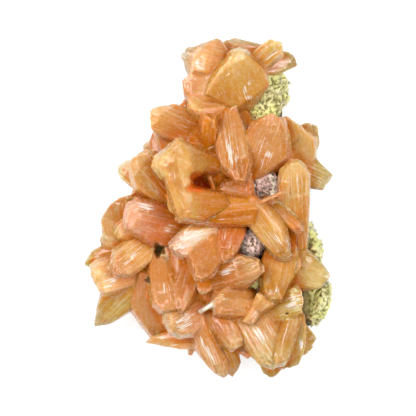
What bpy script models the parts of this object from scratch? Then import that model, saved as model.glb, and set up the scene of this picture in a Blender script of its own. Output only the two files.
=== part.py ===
"""Stilbite with mordenite: sheaves of bladed stilbite crystals on a piece of rock crusted with mordenite.

The specimen lies on the flat cut of its rock, with its crystals up. The origin is on the cut, below the
middle of the specimen. +X is to the right and +Y towards the crest, as the specimen is seen from above.
The sizes in the tables are in millimetres, and each object's mesh is in metres.
"""

import math
from collections import namedtuple

import bmesh
import bpy
from mathutils import Vector, noise

MM = 0.001
GAP = 0.35  # between two solids that touch in the real specimen
SHOULDER = 20.0  # the heights in the tables are stretched by the relief from this height up
RELIEF = 1.3

# A crystal is the convex hull of three rings: its outline as seen from above, set on a plane that runs
# from the root to the tip, a crown above it and a keel below it.
Crystal = namedtuple(
    "Crystal",
    "name root tip outline lift drop flat roll",
    defaults=(1.4, 3.6, 0.45, 0.0),
)
CROWN_INSET = (0.15, 0.2)  # from the root end and from the tip, as shares of the length
KEEL_INSET = (0.1, 0.35)
KEEL_FLAT = 0.4
KEEL_AT_TIP = 0.55  # depth of the keel's tip end, as a share of the drop
MOST_GROWTH = 2.5  # how far a sharp corner of a grown hull may move, in gaps

# A knot is the block of small intergrown crystals that a sheaf springs from, down on the rock.
Knot = namedtuple("Knot", "centre radius low high")
KNOT_ROUGHNESS = 0.18
KNOT_NOISE_SCALE = 3.7

Sheaf = namedtuple("Sheaf", "name colour knots crystals")
Mat = namedtuple("Mat", "name centre radii turn colour subdivisions")

PEACH = (0.74, 0.36, 0.17)
GOLDEN = (0.70, 0.40, 0.15)
PINK = (0.73, 0.32, 0.20)
ORANGE = (0.72, 0.30, 0.10)
ROCK_COLOUR = (0.30, 0.24, 0.13)
CREAM_GREEN = (0.68, 0.68, 0.36)
PINK_WHITE = (0.66, 0.50, 0.44)
OLIVE = (0.32, 0.26, 0.08)
STILBITE_ROUGHNESS = 0.35
MORDENITE_ROUGHNESS = 0.8
ROCK_ROUGHNESS = 0.9

# The sheaves, from the ones in front to the ones behind. Where two meet, the one behind gives way.
SHEAVES = (
    Sheaf(
        "stilbite_arch",
        GOLDEN,
        (Knot((4, 11), 5.5, 18, 33), Knot((-4, 1), 4.5, 20, 38)),
        (
            Crystal("arch_arm", (8, 13, 31), (-12, 18, 43),
                    ((-10, 23), (-5, 20.5), (0, 18.5), (5, 15.5), (6, 12), (-5, 12.6), (-11, 14),
                     (-13, 18)),
                    1.6, 5.0, 0.4, -0.15),
            Crystal("arch_end", (-8, 15, 43), (-17.5, 15.5, 43.5),
                    ((-10, 23), (-16.5, 17.5), (-18, 14.5), (-15, 11), (-9, 10), (-6, 13), (-7, 19)),
                    1.2, 5.0, 0.5, 0.0),
            Crystal("arch_limb", (-11, 17, 42), (-6.5, -3.4, 41),
                    ((-15.5, 14), (-14, 10), (-12, 4), (-11, -1), (-10, -3.2), (-6, -3.4),
                     (-3.5, -2), (-2.7, 0),
                     (-6.8, 10), (-7, 16), (-11, 18)),
                    1.6, 5.0, 0.4, 0.0),
            Crystal("arch_foot", (4, 2, 34), (-7, 3, 40),
                    ((-9, 8), (-6.3, 9), (-3, 5), (4, 4.6), (6, 0), (-2, -3), (-8, -2)),
                    1.0, 4.5, 0.5, 0.0),
            Crystal("arch_back_wall", (6, 6, 26), (2, 16, 33),
                    ((-0.6, 13), (0, 18), (4, 18), (10, 13), (11.4, 8.4), (7, 3.5), (2.6, 4), (0, 9)),
                    1.0, 5.0, 0.5, 0.1),
            Crystal("arch_floor", (1, 9, 24), (-8, 9, 26),
                    ((-9, 12), (-4, 15), (2, 14), (3, 5), (-3, 2), (-8, 6)), 1.0, 4.0, 0.5),
            Crystal("arch_rod_left", (-1, 14, 36), (-5.5, 10.3, 38),
                    ((-6, 11), (-5.2, 9.6), (-0.2, 13.2), (-1.2, 14.8)), 0.7, 0.9, 0.5),
            Crystal("arch_rod_right", (2.8, 4, 31.5), (-0.6, 13.8, 33.5),
                    ((-1.3, 13.4), (0.2, 13.8), (3.7, 4.3), (2, 3.6)), 0.7, 0.9, 0.5),
        ),
    ),
    Sheaf(
        "stilbite_crossbar",
        ORANGE,
        (Knot((14, 1), 5.0, 20, 33),),
        (
            Crystal("crossbar", (17, -1, 34), (-9, -4.2, 36),
                    ((-10, -3), (-3, 1), (5, 4.5), (10, 3.6), (15, 2.8), (18, -1), (15, -6),
                     (5, -4.9), (-3, -5.2),
                     (-9, -5)),
                    2.6, 4.0, 0.05, 0.0),
            Crystal("crossbar_blade", (13.5, 1, 34), (26.8, -17, 33),
                    ((14, 3), (16.5, 3.2), (19, 2), (20.5, 0), (24, -4), (25.8, -6.5), (26.5, -11),
                     (28, -14.5),
                     (27, -16.7), (25.2, -17.3), (22.5, -15.6), (18, -11.5), (15.5, -8), (13, -4)),
                    1.7, 3.8, 0.35, 0.12),
            Crystal("pink_stub", (15, 3, 31), (14, 10.5, 35),
                    ((11, 4), (12.5, 8.8), (14.7, 10.6), (16, 8), (16.3, 5), (15.5, 2.6), (12, 2.2)),
                    1.6, 3.6, 0.3),
            Crystal("glassy_blade", (14, 5.5, 33), (4, 6.6, 34),
                    ((4, 6.4), (6.5, 8.8), (10, 9.6), (13, 8.6), (13, 4.6), (9, 4.2), (6, 5.2)),
                    0.7, 1.4, 0.6),
            Crystal("thin_rod", (14.2, 0.1, 34.6), (25.2, 5.2, 36.5),
                    ((14, 0.7), (14.6, -0.5), (25.4, 4.7), (25, 5.8)), 0.5, 0.8, 0.4),
        ),
    ),
    Sheaf(
        "stilbite_centre_fan",
        PINK,
        (Knot((1, -11), 6.5, 20, 32),),
        (
            Crystal("striated_sheaf", (4, -8, 29), (-12.5, -13.5, 35),
                    ((-13.5, -13.5), (-12, -12), (-9, -9.5), (-5.5, -5.5), (0, -4.5), (4, -5.5),
                     (5, -10), (2, -13),
                     (-5, -15), (-8, -16.6), (-10, -15.6)),
                    1.8, 4.2, 0.5, -0.12),
            Crystal("striated_sheaf_low", (2, -12, 29), (-8, -17, 30),
                    ((-9, -16.6), (-6, -18.6), (0, -17), (3, -13), (-6, -12)), 1.2, 4.0, 0.5),
            Crystal("pink_down_blade", (9, -4, 28), (6, -17.7, 36),
                    ((3.5, -4.6), (13, -5.8), (13.2, -9), (11.5, -12.5), (9, -16), (6, -17.9),
                     (4.9, -17), (4, -13)),
                    1.7, 4.2, 0.3, 0.1),
            Crystal("tan_block", (3, -12.5, 31), (-3, -24, 38),
                    ((-5, -12), (1, -11.6), (5, -14), (4.6, -18), (1, -22.6), (-2, -24.1),
                     (-4, -23.2), (-5, -20.5),
                     (-6.2, -17)),
                    1.3, 4.6, 0.5, 0.1),
        ),
    ),
    Sheaf(
        "stilbite_upper_middle",
        PEACH,
        (Knot((10, 23), 6.5, 18, 31), Knot((20, 20), 7.0, 16, 30)),
        (
            Crystal("white_glint_blade", (8.5, 35, 27), (10.8, 10, 38),
                    ((5.5, 34.5), (3.4, 28), (3.2, 22), (3.6, 17), (5, 14.6), (8, 12.2),
                     (9.5, 10.3), (12, 9.9),
                     (13.2, 11.6), (14.2, 17), (13.4, 23), (12, 29), (10, 34.5)),
                    2.0, 5.0, 0.25, 0.0),
            Crystal("pink_sliver", (9.4, 34.8, 28), (2.8, 30.2, 28.5),
                    ((2.4, 30.8), (3.4, 29.7), (10.4, 34.4), (9, 36.4)), 0.6, 3.6, 0.4),
            Crystal("golden_back_blade", (13, 35, 24), (14.5, 22, 27),
                    ((9, 34.5), (14, 34.2), (15.4, 29), (16, 23), (11, 22)), 1.2, 4.0, 0.4),
            Crystal("broad_blade", (15, 11, 26.5), (22.4, 32.8, 37),
                    ((13.2, 22), (16, 28.6), (19, 31.2), (22, 32.9), (24.5, 31.6), (26, 29),
                     (27.2, 25), (27.4, 20),
                     (27, 17.5), (24, 15), (20, 11.7), (17, 9.6), (14.4, 9.4), (13, 14)),
                    1.8, 5.0, 0.45, 0.1),
        ),
    ),
    Sheaf(
        "stilbite_crest",
        PINK,
        (Knot((8, 44), 7.5, 12, 30), Knot((14, 50), 5.5, 14, 26), Knot((0, 37), 6.0, 12, 27)),
        (
            Crystal("crest_diamond", (15, 37, 26.5), (8.5, 54, 34),
                    ((0.4, 42), (3, 46.5), (8, 53), (10.5, 54.1), (13, 53.6), (19, 48.5),
                     (21.6, 42.5), (16, 37.8),
                     (10, 35.4), (3, 38.2), (-0.6, 39.6)),
                    2.2, 7.0, 0.35, 0.14),
            Crystal("crest_left_front", (7, 49, 27), (-4.5, 51.5, 32),
                    ((-5.6, 51), (-4.6, 48), (-1, 47), (5.5, 47.5), (6.5, 54), (4.9, 58.3),
                     (3.5, 59.3), (1.5, 58.7),
                     (-2, 55.6)),
                    1.6, 6.5, 0.3, 0.12),
            Crystal("crest_left_behind", (4, 50, 25), (-9.6, 53.4, 22.5),
                    ((-9.6, 53.4), (-8.2, 55.4), (-6.8, 56.6), (-2, 57.5), (2, 57), (3, 47),
                     (-6.2, 47.2), (-7, 50)),
                    1.0, 3.6, 0.5, -0.1),
            Crystal("crest_back_blade", (18, 54, 22), (5, 58.6, 24),
                    ((4.6, 57), (7, 59.2), (9, 59.7), (12, 58.7), (16, 57.8), (19, 57.3), (20, 52),
                     (14, 51),
                     (6, 53)),
                    1.3, 3.8, 0.2, -0.1),
            Crystal("crest_orange_blade", (13, 48, 24), (24.6, 57.6, 32),
                    ((12, 51.5), (20, 57.6), (21.5, 58.9), (26, 57.9), (26.3, 55.5), (24.5, 53),
                     (19.5, 48.6),
                     (15, 46)),
                    1.2, 3.6, 0.6, 0.1),
            Crystal("crest_right_blade", (17, 48.5, 22.5), (31.8, 50.6, 18.5),
                    ((17, 53), (26, 55.6), (28.5, 55.4), (30, 54), (31.8, 50.7), (31, 49.9), (25.5, 47.2),
                     (21, 46.5), (17, 46)),
                    1.4, 3.6, 0.3, 0.0),
            Crystal("crest_lower_left", (5, 43, 26), (-8.8, 43.6, 24.5),
                    ((-8.8, 44), (-6, 46.6), (0, 48.1), (5, 48.5), (6, 38), (-6.6, 36.5), (-8.6, 41.6)),
                    1.5, 4.2, 0.45, 0.0),
            Crystal("crest_foot_blade", (7, 36, 26), (-5.6, 35.6, 30),
                    ((-6.4, 38), (-3, 40), (3, 40.6), (8, 36.4), (3.4, 31.2), (-1, 30.8), (-6, 34.6)),
                    1.4, 6.5, 0.4, 0.14),
            Crystal("crest_bridge", (1.4, 44.6, 29.5), (-1.6, 42, 29.5),
                    ((-2, 42.2), (-0.5, 41.4), (3, 43.4), (2.4, 46.4), (-1, 45.2)), 0.7, 5.5, 0.4),
        ),
    ),
    Sheaf(
        "stilbite_upper_left",
        PEACH,
        (Knot((-4, 24), 6.5, 14, 29), Knot((-11, 18), 5.5, 10, 24)),
        (
            Crystal("upper_left_fan", (-2.6, 26, 24), (-19, 33, 32),
                    ((-20.3, 33.6), (-17.5, 35.4), (-12, 36.4), (-9, 35.2), (-5, 33.6), (-2.4, 31),
                     (-2, 27.6),
                     (-4, 24), (-9, 22.4), (-15, 25), (-19.7, 27.6), (-20.5, 31)),
                    2.2, 4.6, 0.4, 0.12),
            Crystal("upper_left_golden", (-8, 20, 23), (-18, 28, 28),
                    ((-19.4, 27.8), (-15, 29), (-8, 26), (-6, 20), (-11, 16),
                     (-15.3, 19)), 1.2, 4.2, 0.5, 0.1),
            Crystal("upper_left_pale", (-13, 18, 21), (-19.6, 26, 19.5),
                    ((-19.3, 27.2), (-20.4, 24), (-20.2, 19), (-17, 16.6), (-12, 17),
                     (-12, 24)), 1.0, 3.6, 0.4),
            Crystal("upper_left_glassy", (-15, 18, 19.5), (-23, 21.5, 17.5),
                    ((-20, 24.7), (-22.6, 22.6), (-23.2, 20), (-22, 18.6), (-17, 16), (-14, 18),
                     (-15, 22)),
                    0.9, 3.2, 0.4),
            Crystal("upper_left_upright", (0.2, 20.6, 29), (0.4, 31.3, 36),
                    ((-2.1, 29.6), (-0.5, 31.3), (2.2, 30.6), (2.7, 26), (2.5, 22.3), (1, 20.3),
                     (-1.4, 20.9),
                     (-2.4, 24.5)),
                    1.2, 9.0, 0.3),
            Crystal("upper_left_inner_face", (0, 22, 24), (-9, 19, 27),
                    ((-11, 22), (-6, 24), (3, 25), (4, 17), (-4, 16), (-10, 18)), 1.2, 5.0, 0.4),
        ),
    ),
    Sheaf(
        "stilbite_left_blade",
        ORANGE,
        (Knot((-14, 4), 6.0, 12, 27),),
        (
            Crystal("left_big_blade", (-10, 2, 25), (-23, 18, 34),
                    ((-25.5, 17.6), (-21, 18.7), (-17, 17.6), (-12, 13), (-8.5, 4), (-11, -2),
                     (-15, 0), (-19, 2.4),
                     (-24, 6.4), (-25.2, 9), (-26.2, 13), (-27.1, 16.3)),
                    2.2, 4.8, 0.35, 0.0),
            Crystal("left_cream_blade", (-17, 3, 22), (-31, 14.6, 23),
                    ((-31.8, 13), (-31.2, 15), (-28.6, 16.4), (-26, 17.7), (-19, 12), (-16, 4), (-20, 3),
                     (-24, 6.2), (-30.4, 10)),
                    1.2, 3.4, 0.4, 0.15),
            Crystal("left_glassy_chip", (-19, 3, 20), (-26, 6.6, 18.5),
                    ((-26.3, 7), (-25.6, 3.4), (-24.4, 1.7), (-18, 0.6), (-18, 5)), 0.8, 2.6, 0.3),
            Crystal("left_pink_facets", (-15, 0, 22), (-23, 3.8, 24),
                    ((-24, 4), (-22, 6.2), (-14, 5), (-13, -1), (-18, -1.5),
                     (-23.4, 1.2)), 1.2, 3.8, 0.3),
        ),
    ),
    Sheaf(
        "stilbite_left_middle",
        PINK,
        (Knot((-15, -7), 6.0, 14, 28),),
        (
            Crystal("left_pink_blade", (-9, -8, 26.5), (-28, -3, 35),
                    ((-27.4, -1), (-26.5, 0.9), (-23.5, 1.9), (-16, 0.6), (-8, -4), (-7.5, -10),
                     (-12, -13),
                     (-16, -13), (-20, -11.6), (-25, -8.6), (-27.2, -7), (-28.1, -4.5)),
                    2.2, 4.6, 0.4, 0.0),
            Crystal("left_pale_blade", (-17, -9, 23), (-30.5, -5, 26),
                    ((-27.5, 0.2), (-29.6, -4), (-31.2, -6), (-31.3, -8.4), (-30.4, -10.2), (-28, -11.3),
                     (-22, -12.4), (-16, -11), (-18, -2)),
                    1.4, 3.8, 0.35, 0.0),
        ),
    ),
    Sheaf(
        "stilbite_left_spray",
        PEACH,
        (Knot((-23, -18), 6.5, 12, 27),),
        (
            Crystal("left_sparkling_blade", (-19, -13, 25), (-31, -22, 31),
                    ((-33, -19), (-31.6, -22.8), (-27, -22.8), (-20, -18.4), (-18.8, -16),
                     (-18.6, -12.6), (-21, -9.6),
                     (-27, -11.4), (-31.4, -15)),
                    1.7, 6.0, 0.35, 0.12),
            Crystal("left_broad_blade", (-21, -20, 22), (-39.5, -25, 25),
                    ((-38, -19), (-40.2, -21), (-40.6, -23.4), (-40.1, -26), (-38.5, -28.6), (-36, -29.8),
                     (-33, -29.2), (-26, -27), (-21.6, -25), (-19.6, -22), (-19.4, -16.4), (-30, -15.6)),
                    2.0, 5.0, 0.35, 0.0),
            Crystal("left_upright", (-28, -15, 18), (-30, 3.8, 27),
                    ((-31, 3.7), (-28, 4.1), (-26.4, 3.8), (-25.2, 1.4), (-26, -6), (-27, -15),
                     (-33, -16),
                     (-36.2, -9), (-37.6, -4), (-36.9, -2), (-34.6, 1)),
                    1.8, 4.2, 0.35, 0.0),
            Crystal("left_small_grey", (-28, -14, 20), (-38, -10.4, 22),
                    ((-38.2, -11), (-36.6, -8.9), (-34.8, -8.6), (-28, -11), (-28, -16), (-35.8, -13.2)),
                    1.0, 2.8, 0.35),
            Crystal("left_olive_tip", (-27, -16, 21), (-43.8, -19.4, 16.5),
                    ((-43.9, -19.6), (-41.5, -15.4), (-38, -13.9), (-34, -12.4), (-26, -13), (-26, -19),
                     (-36, -20.4), (-40, -21.2), (-43.2, -20.5)),
                    1.5, 3.4, 0.3),
            Crystal("left_pointed_blade", (-23, -25, 23), (-39.8, -42.1, 14),
                    ((-36, -29.6), (-38, -32.5), (-39.7, -36), (-40.4, -40), (-40.1, -42.3),
                     (-34.5, -41.1),
                     (-29, -37.2), (-27, -35), (-21, -26), (-25, -22), (-31, -25)),
                    2.0, 4.2, 0.1, 0.0),
        ),
    ),
    Sheaf(
        "stilbite_lower_left",
        PEACH,
        (Knot((-13, -23), 7.5, 14, 29), Knot((-15, -33), 5.0, 12, 25)),
        (
            Crystal("tan_down_blade", (-16, -16, 26), (-14, -35.5, 32),
                    ((-19, -16.9), (-20.2, -20), (-20.2, -24), (-19.7, -28), (-18.9, -33), (-16, -35.4),
                     (-10, -34.8), (-11.6, -29), (-13.2, -25), (-13.6, -20), (-14.6, -16.6)),
                    1.8, 6.0, 0.4, 0.0),
            Crystal("pink_fan", (-10, -14, 26), (-11, -27, 28),
                    ((-15, -12.8), (-6, -13), (-5, -20), (-7, -27), (-13, -28),
                     (-15, -20)), 1.2, 5.5, 0.5),
            Crystal("slim_blade", (-4, -18, 27), (-9, -36, 32),
                    ((-12.2, -28), (-11.6, -33), (-9, -36.1), (-6.4, -33), (-3.4, -26), (-1.6, -20),
                     (-5, -17),
                     (-9, -21)),
                    1.8, 6.0, 0.2, 0.0),
            Crystal("curved_outer_blade", (-19, -25, 24), (-17.5, -45, 17),
                    ((-24, -24), (-27, -33), (-26.3, -36), (-24, -39.3), (-21, -44), (-19.8, -45.6),
                     (-14, -42.7),
                     (-14, -34), (-15, -25)),
                    2.0, 4.6, 0.35, 0.0),
            Crystal("low_orange_face", (-12, -30, 23), (-13, -41, 21),
                    ((-18, -33), (-16, -41), (-10, -43), (-7, -36), (-8, -29),
                     (-15, -28)), 1.2, 4.2, 0.4),
        ),
    ),
    Sheaf(
        "stilbite_bottom",
        ORANGE,
        (Knot((-1, -38), 6.0, 12, 25),),
        (
            Crystal("blunt_pink_block", (-1.5, -34, 25), (-12.5, -40, 30),
                    ((-14.2, -36), (-14, -39.5), (-12.5, -43), (-9, -44.2), (-5, -43.6),
                     (-1.6, -41), (0.4, -37.6),
                     (-0.6, -32.6), (-5, -31.4), (-10, -34.6)),
                    2.0, 5.0, 0.4, 0.0),
            Crystal("brown_pink_block", (3, -36, 25), (9, -48.6, 28),
                    ((-0.4, -37.5), (1.8, -42.5), (4.8, -46), (7.5, -49), (10, -48.5), (12.2, -46),
                     (10.4, -41),
                     (7.4, -36.6), (3, -35)),
                    2.0, 5.0, 0.4, 0.0),
            Crystal("bottom_orange_blade", (-1.5, -40, 26), (5.6, -59.6, 20),
                    ((-5, -44), (-3.7, -49.5), (-2.2, -52.5), (-0.2, -55.7), (2, -58.3), (6, -60),
                     (7.2, -58.6),
                     (7, -54), (4.2, -49), (1.4, -44), (-1, -39)),
                    2.2, 4.6, 0.25, 0.0),
            Crystal("bottom_golden_blade", (2.4, -44, 24), (8.7, -59.6, 17),
                    ((4, -46), (8, -46), (9.2, -48.8), (10.7, -51.5), (11.7, -54.5), (10.4, -57.2),
                     (8.7, -59.8),
                     (6, -58), (1, -50), (1, -43)),
                    1.8, 4.2, 0.25, 0.12),
            Crystal("bottom_grey_tip", (6, -42, 24), (11.5, -48.8, 20.5),
                    ((9, -48.6), (10.6, -49.3), (12.8, -47.6), (12, -43), (7, -40),
                     (4, -44)), 1.0, 3.4, 0.3),
            Crystal("bottom_tan_blade", (-2, -39, 22), (-4, -50, 19),
                    ((-8, -43), (-4.2, -50), (-1.2, -47), (0, -39), (-5, -39)), 1.2, 3.8, 0.3),
            Crystal("bottom_thin_blade", (-3, -44, 21), (-22.6, -47.6, 16),
                    ((-22.8, -47.8), (-20, -45.3), (-15, -44.2), (-11, -42.4), (-3, -42), (-2, -48),
                     (-4, -49.6),
                     (-10, -49.9), (-14, -49), (-20, -48.2)),
                    1.2, 2.6, 0.2),
            Crystal("bottom_tooth", (-4, -46, 19), (-6.3, -52.6, 17),
                    ((-7.5, -49.5), (-7, -52.2), (-5.8, -52.6), (-4.6, -49.6), (-2.4, -45.4),
                     (-6.4, -45)),
                    0.7, 2.2, 0.3),
        ),
    ),
    Sheaf(
        "stilbite_middle",
        PINK,
        (Knot((3, -27), 6.0, 16, 28),),
        (
            Crystal("middle_striated_blade", (-1, -27, 27.5), (18, -21, 36),
                    ((18.3, -22), (16.5, -18.4), (11, -16.7), (8, -17), (5, -19), (0, -22.6),
                     (-3, -27), (0, -30),
                     (7, -27.4), (12, -27.2), (16, -25.2)),
                    1.8, 4.2, 0.3, 0.12),
            Crystal("middle_inner_face", (3, -24, 26), (4, -16, 28),
                    ((-1, -16), (6, -15), (9.4, -19), (5, -26), (-2, -28), (-5, -22)), 1.2, 5.0, 0.4),
            Crystal("middle_pink_face", (2, -32, 26), (3, -22, 28),
                    ((-2, -23), (7, -23.4), (8, -28), (4, -32.6), (-1, -33.6), (-5, -28)), 1.2, 4.6, 0.4),
            Crystal("middle_round_blade", (15, -34, 27), (2.3, -32, 33),
                    ((2.2, -33), (3.8, -29.4), (7, -27.6), (12, -27.8), (15.6, -29.8), (17.4, -34),
                     (14.5, -37.4),
                     (9, -37.3), (3.6, -36.6)),
                    1.8, 4.6, 0.4, 0.1),
            Crystal("glint_blade", (3.4, -32, 32.5), (-1.8, -35.6, 32),
                    ((-2, -35), (-1.4, -36), (4.6, -32.4), (3.8, -31)), 0.5, 4.4, 0.5),
            Crystal("bow_tie_upper", (16, -35.4, 29), (20.4, -30.6, 31),
                    ((17, -29.4), (21, -31), (22.6, -33.8), (18, -36.6), (15, -36.6)), 1.1, 3.6, 0.4),
            Crystal("bow_tie_lower", (18, -34, 29), (13.6, -40, 30),
                    ((12.3, -39.4), (16, -40.2), (18.6, -36), (18, -33.6), (15, -34.4)), 1.1, 4.2, 0.4),
        ),
    ),
    Sheaf(
        "stilbite_lower_right",
        GOLDEN,
        (Knot((19, -38), 7.0, 12, 26), Knot((29, -39), 4.5, 12, 24)),
        (
            Crystal("big_striated_blade", (12, -36, 25), (22, -54.4, 29),
                    ((8, -38), (10, -42.4), (13, -47.2), (14.5, -49.7), (16, -52.2), (17.5, -54.3),
                     (21, -54.8),
                     (25.5, -54), (27, -50), (25, -43), (19, -36), (12, -34.6)),
                    2.2, 4.6, 0.5, 0.0),
            Crystal("curved_tan_blade", (31, -34.6, 26), (24.6, -54, 31),
                    ((28.6, -35), (33, -34.4), (32.6, -40), (29.4, -48), (27, -53.4), (24, -54.2),
                     (22.8, -52),
                     (24.6, -44)),
                    1.5, 4.2, 0.35, -0.1),
            Crystal("dark_striated_fan", (19, -36, 24), (32.4, -31.6, 31),
                    ((25.5, -29.2), (30, -28.2), (32.6, -29.4), (33.2, -33), (32.4, -36.6), (27, -38.6),
                     (19, -40), (17, -34)),
                    1.5, 4.2, 0.5, -0.1),
            Crystal("low_orange_root", (9, -36, 26), (10, -43, 26),
                    ((3, -35), (15, -35), (17, -40), (14, -43.6), (7, -41), (2, -38)), 1.2, 5.0, 0.4),
            Crystal("dark_golden_root", (21, -41, 24), (24, -33, 26),
                    ((14.5, -38), (18, -33), (23, -30.6), (28, -33), (29, -40), (24, -45),
                     (18, -43)), 1.0, 5.0, 0.4),
            Crystal("golden_low_blade", (31, -37, 26), (28, -56.4, 22),
                    ((25, -50), (30, -37), (34, -38), (34.6, -44), (34, -50), (32.2, -54.7), (29, -56.3),
                     (26, -56.8), (24.6, -54)),
                    1.6, 4.2, 0.25, 0.14),
            Crystal("bright_right_blade", (31, -41, 23), (38.4, -46.6, 20),
                    ((31, -37), (33.4, -39.6), (35, -42.6), (38.5, -46), (37.2, -48.7),
                     (35.6, -50.7), (33, -52.8),
                     (29, -48), (29, -40)),
                    1.6, 4.0, 0.3, 0.0),
            Crystal("bottom_right_tip", (19, -48, 23), (22, -59.6, 17.5),
                    ((16, -48), (18, -54.4), (19.5, -58.6), (21.5, -59.9), (24, -59.7),
                     (25.6, -57.6), (28, -53),
                     (25, -42), (17, -42)),
                    1.5, 4.6, 0.3, 0.0),
        ),
    ),
    Sheaf(
        "stilbite_right_pair",
        GOLDEN,
        (Knot((27, -20), 5.5, 14, 27),),
        (
            Crystal("pair_down_blade", (26, -14, 26), (23.4, -31.2, 33),
                    ((20, -14.4), (19, -18.5), (19, -22), (19.3, -26), (19.8, -29), (22, -31.3),
                     (25.5, -31.2),
                     (26.6, -28), (28.6, -22.6), (30.7, -20.4), (31.2, -16), (28, -12.6)),
                    1.9, 4.8, 0.35, 0.08),
            Crystal("pair_right_blade", (27, -21, 24), (42.6, -23.6, 26),
                    ((30, -15.6), (34.4, -15), (36, -18.3), (40, -20), (42, -22), (42.6, -24),
                     (41.2, -26),
                     (39, -28.2), (33, -28), (27.6, -27), (26, -19)),
                    1.8, 4.2, 0.3, 0.0),
        ),
    ),
    Sheaf(
        "stilbite_right_tall",
        ORANGE,
        (Knot((30, -7), 5.0, 12, 27),),
        (
            Crystal("tall_blade", (32, -17, 22.5), (30.4, 15, 34),
                    ((29, 15.2), (31.5, 15.2), (33.5, 13.2), (34.8, 10.5), (35.4, 0), (35, -6),
                     (34.6, -15),
                     (30.6, -18), (27, -1), (25.2, 0.4), (24.6, 5), (25.5, 10.5), (27, 13)),
                    1.9, 5.0, 0.4, 0.0),
            Crystal("tall_side_face", (28, -14, 24), (26, 0, 27),
                    ((24, -1), (27, 3), (32, -2), (32.6, -14), (29, -16.6), (25.6, -10)), 1.2, 5.0, 0.4),
            Crystal("slant_blade", (20.4, 2.6, 29), (31.8, -7, 32),
                    ((20, 4), (23, 3.8), (31, -4.2), (32, -7), (29.6, -7.7), (24, -3.6), (20, 0)),
                    1.2, 3.4, 0.3),
        ),
    ),
    Sheaf(
        "stilbite_upper_right",
        GOLDEN,
        (Knot((31, 18), 5.0, 12, 23),),
        (
            Crystal("upper_right_golden", (31, 16, 22), (29, 31.6, 30),
                    ((25, 31.8), (27.6, 31.9), (30, 29.2), (32.5, 27.6), (36.6, 24.2), (37.6, 20),
                     (37, 17.5),
                     (34, 15), (30, 14), (27.6, 18), (26, 26)),
                    1.8, 4.6, 0.4, 0.0),
            Crystal("upper_right_notch_left", (34, 20, 20), (34.6, 30.2, 24),
                    ((32, 27), (34.4, 30.2), (36.2, 29.7), (37.4, 26), (37, 19),
                     (32, 19)), 1.2, 3.4, 0.3),
            Crystal("upper_right_notch_right", (35, 19, 20), (37.6, 29.8, 22),
                    ((35.6, 25), (37, 30), (38.6, 28.5), (38.7, 26.4), (39.4, 23), (38.6, 20.8), (37, 17),
                     (33, 18)),
                    1.2, 3.4, 0.3),
            Crystal("upper_right_striated", (32, 15, 22), (43.6, 10, 17.5),
                    ((33, 19), (38.6, 17.2), (41, 14.2), (44, 11.6), (43.6, 10.2), (41, 6.9), (40, 6.3),
                     (37, 7.6), (33, 8.6), (30, 12)),
                    1.4, 3.6, 0.45, 0.0),
            Crystal("upper_right_gap_face", (30, 13, 24), (27.4, 25, 26),
                    ((26, 14), (26.4, 26), (29, 27), (31, 14), (29, 10)), 1.0, 4.4, 0.4),
        ),
    ),
)

# The rock: its rim as seen from above, round the middle of the slab, and its height.
ROCK_MIDDLE = (6, -2)
ROCK_RIM = (
    (32.5, 10), (30, 18), (28.5, 26), (27, 33), (25.5, 38), (22.5, 43), (18.5, 47.2), (12, 49.5), (4, 48),
    (-3, 42), (-5, 34), (-9, 28), (-14, 20), (-19, 12), (-22, 4), (-26, -4), (-29, -13), (-28, -23),
    (-24, -31), (-17, -38), (-8, -44), (2, -47), (12, -48), (22, -49), (30, -46), (36, -41.5), (41, -35),
    (42.2, -29), (40, -24), (38, -18), (36, -12), (34, -6),
)
ROCK_TOP = 25.0
ROCK_WIDEST = 5.0  # height of the widest ring
ROCK_FILL = 0.8  # under 1 makes the top flatter and the sides steeper
ROCK_SUBDIVISIONS = 4
ROCK_LUMPS = ((3.6, 16.0), (2.2, 8.0))  # depth and width of the lumps on it
ROCK_SEED = Vector((3.1, 7.7, 1.9))

# Crusts of mordenite on the rock.
MATS = (
    Mat("mordenite_upper_right", (21, 39, 15), (7.6, 11.0, 7.0), -20, CREAM_GREEN, 3),
    Mat("mordenite_centre_right", (20.5, 7, 23), (5.2, 6.0, 4.6), 10, PINK_WHITE, 2),
    Mat("mordenite_centre", (15, -12.5, 23), (5.0, 5.4, 4.6), 0, PINK_WHITE, 2),
    Mat("mordenite_right_edge", (37, -13, 12), (3.8, 9.0, 8.0), 18, CREAM_GREEN, 3),
    Mat("mordenite_lower_right", (39, -33, 11), (5.0, 9.0, 8.5), -18, CREAM_GREEN, 3),
    Mat("mordenite_lower_middle", (16, -25, 22.5), (4.4, 3.6, 4.0), 20, OLIVE, 2),
)
MAT_LUMPS = ((1.8, 4.0),)
MAT_SEED = Vector((8.3, 2.2, 5.4))


def relief_height(height):
    return max(height, 0.0) if height < SHOULDER else SHOULDER + RELIEF * (height - SHOULDER)


def plan_axes(crystal):
    """The root in plan, the direction to the tip and the one across it, and the length between them."""
    root = Vector(crystal.root[:2])
    along = Vector(crystal.tip[:2]) - root
    length = along.length
    along.normalize()
    return root, along, Vector((-along.y, along.x)), length


def span_at(places, station):
    """The least and greatest distance across the hull of these (along, across) places at one station."""
    found = []
    for s0, c0 in places:
        for s1, c1 in places:
            if s0 <= station <= s1 and s1 > s0:
                found.append(c0 + (c1 - c0) * (station - s0) / (s1 - s0))
    return min(found), max(found)


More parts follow.
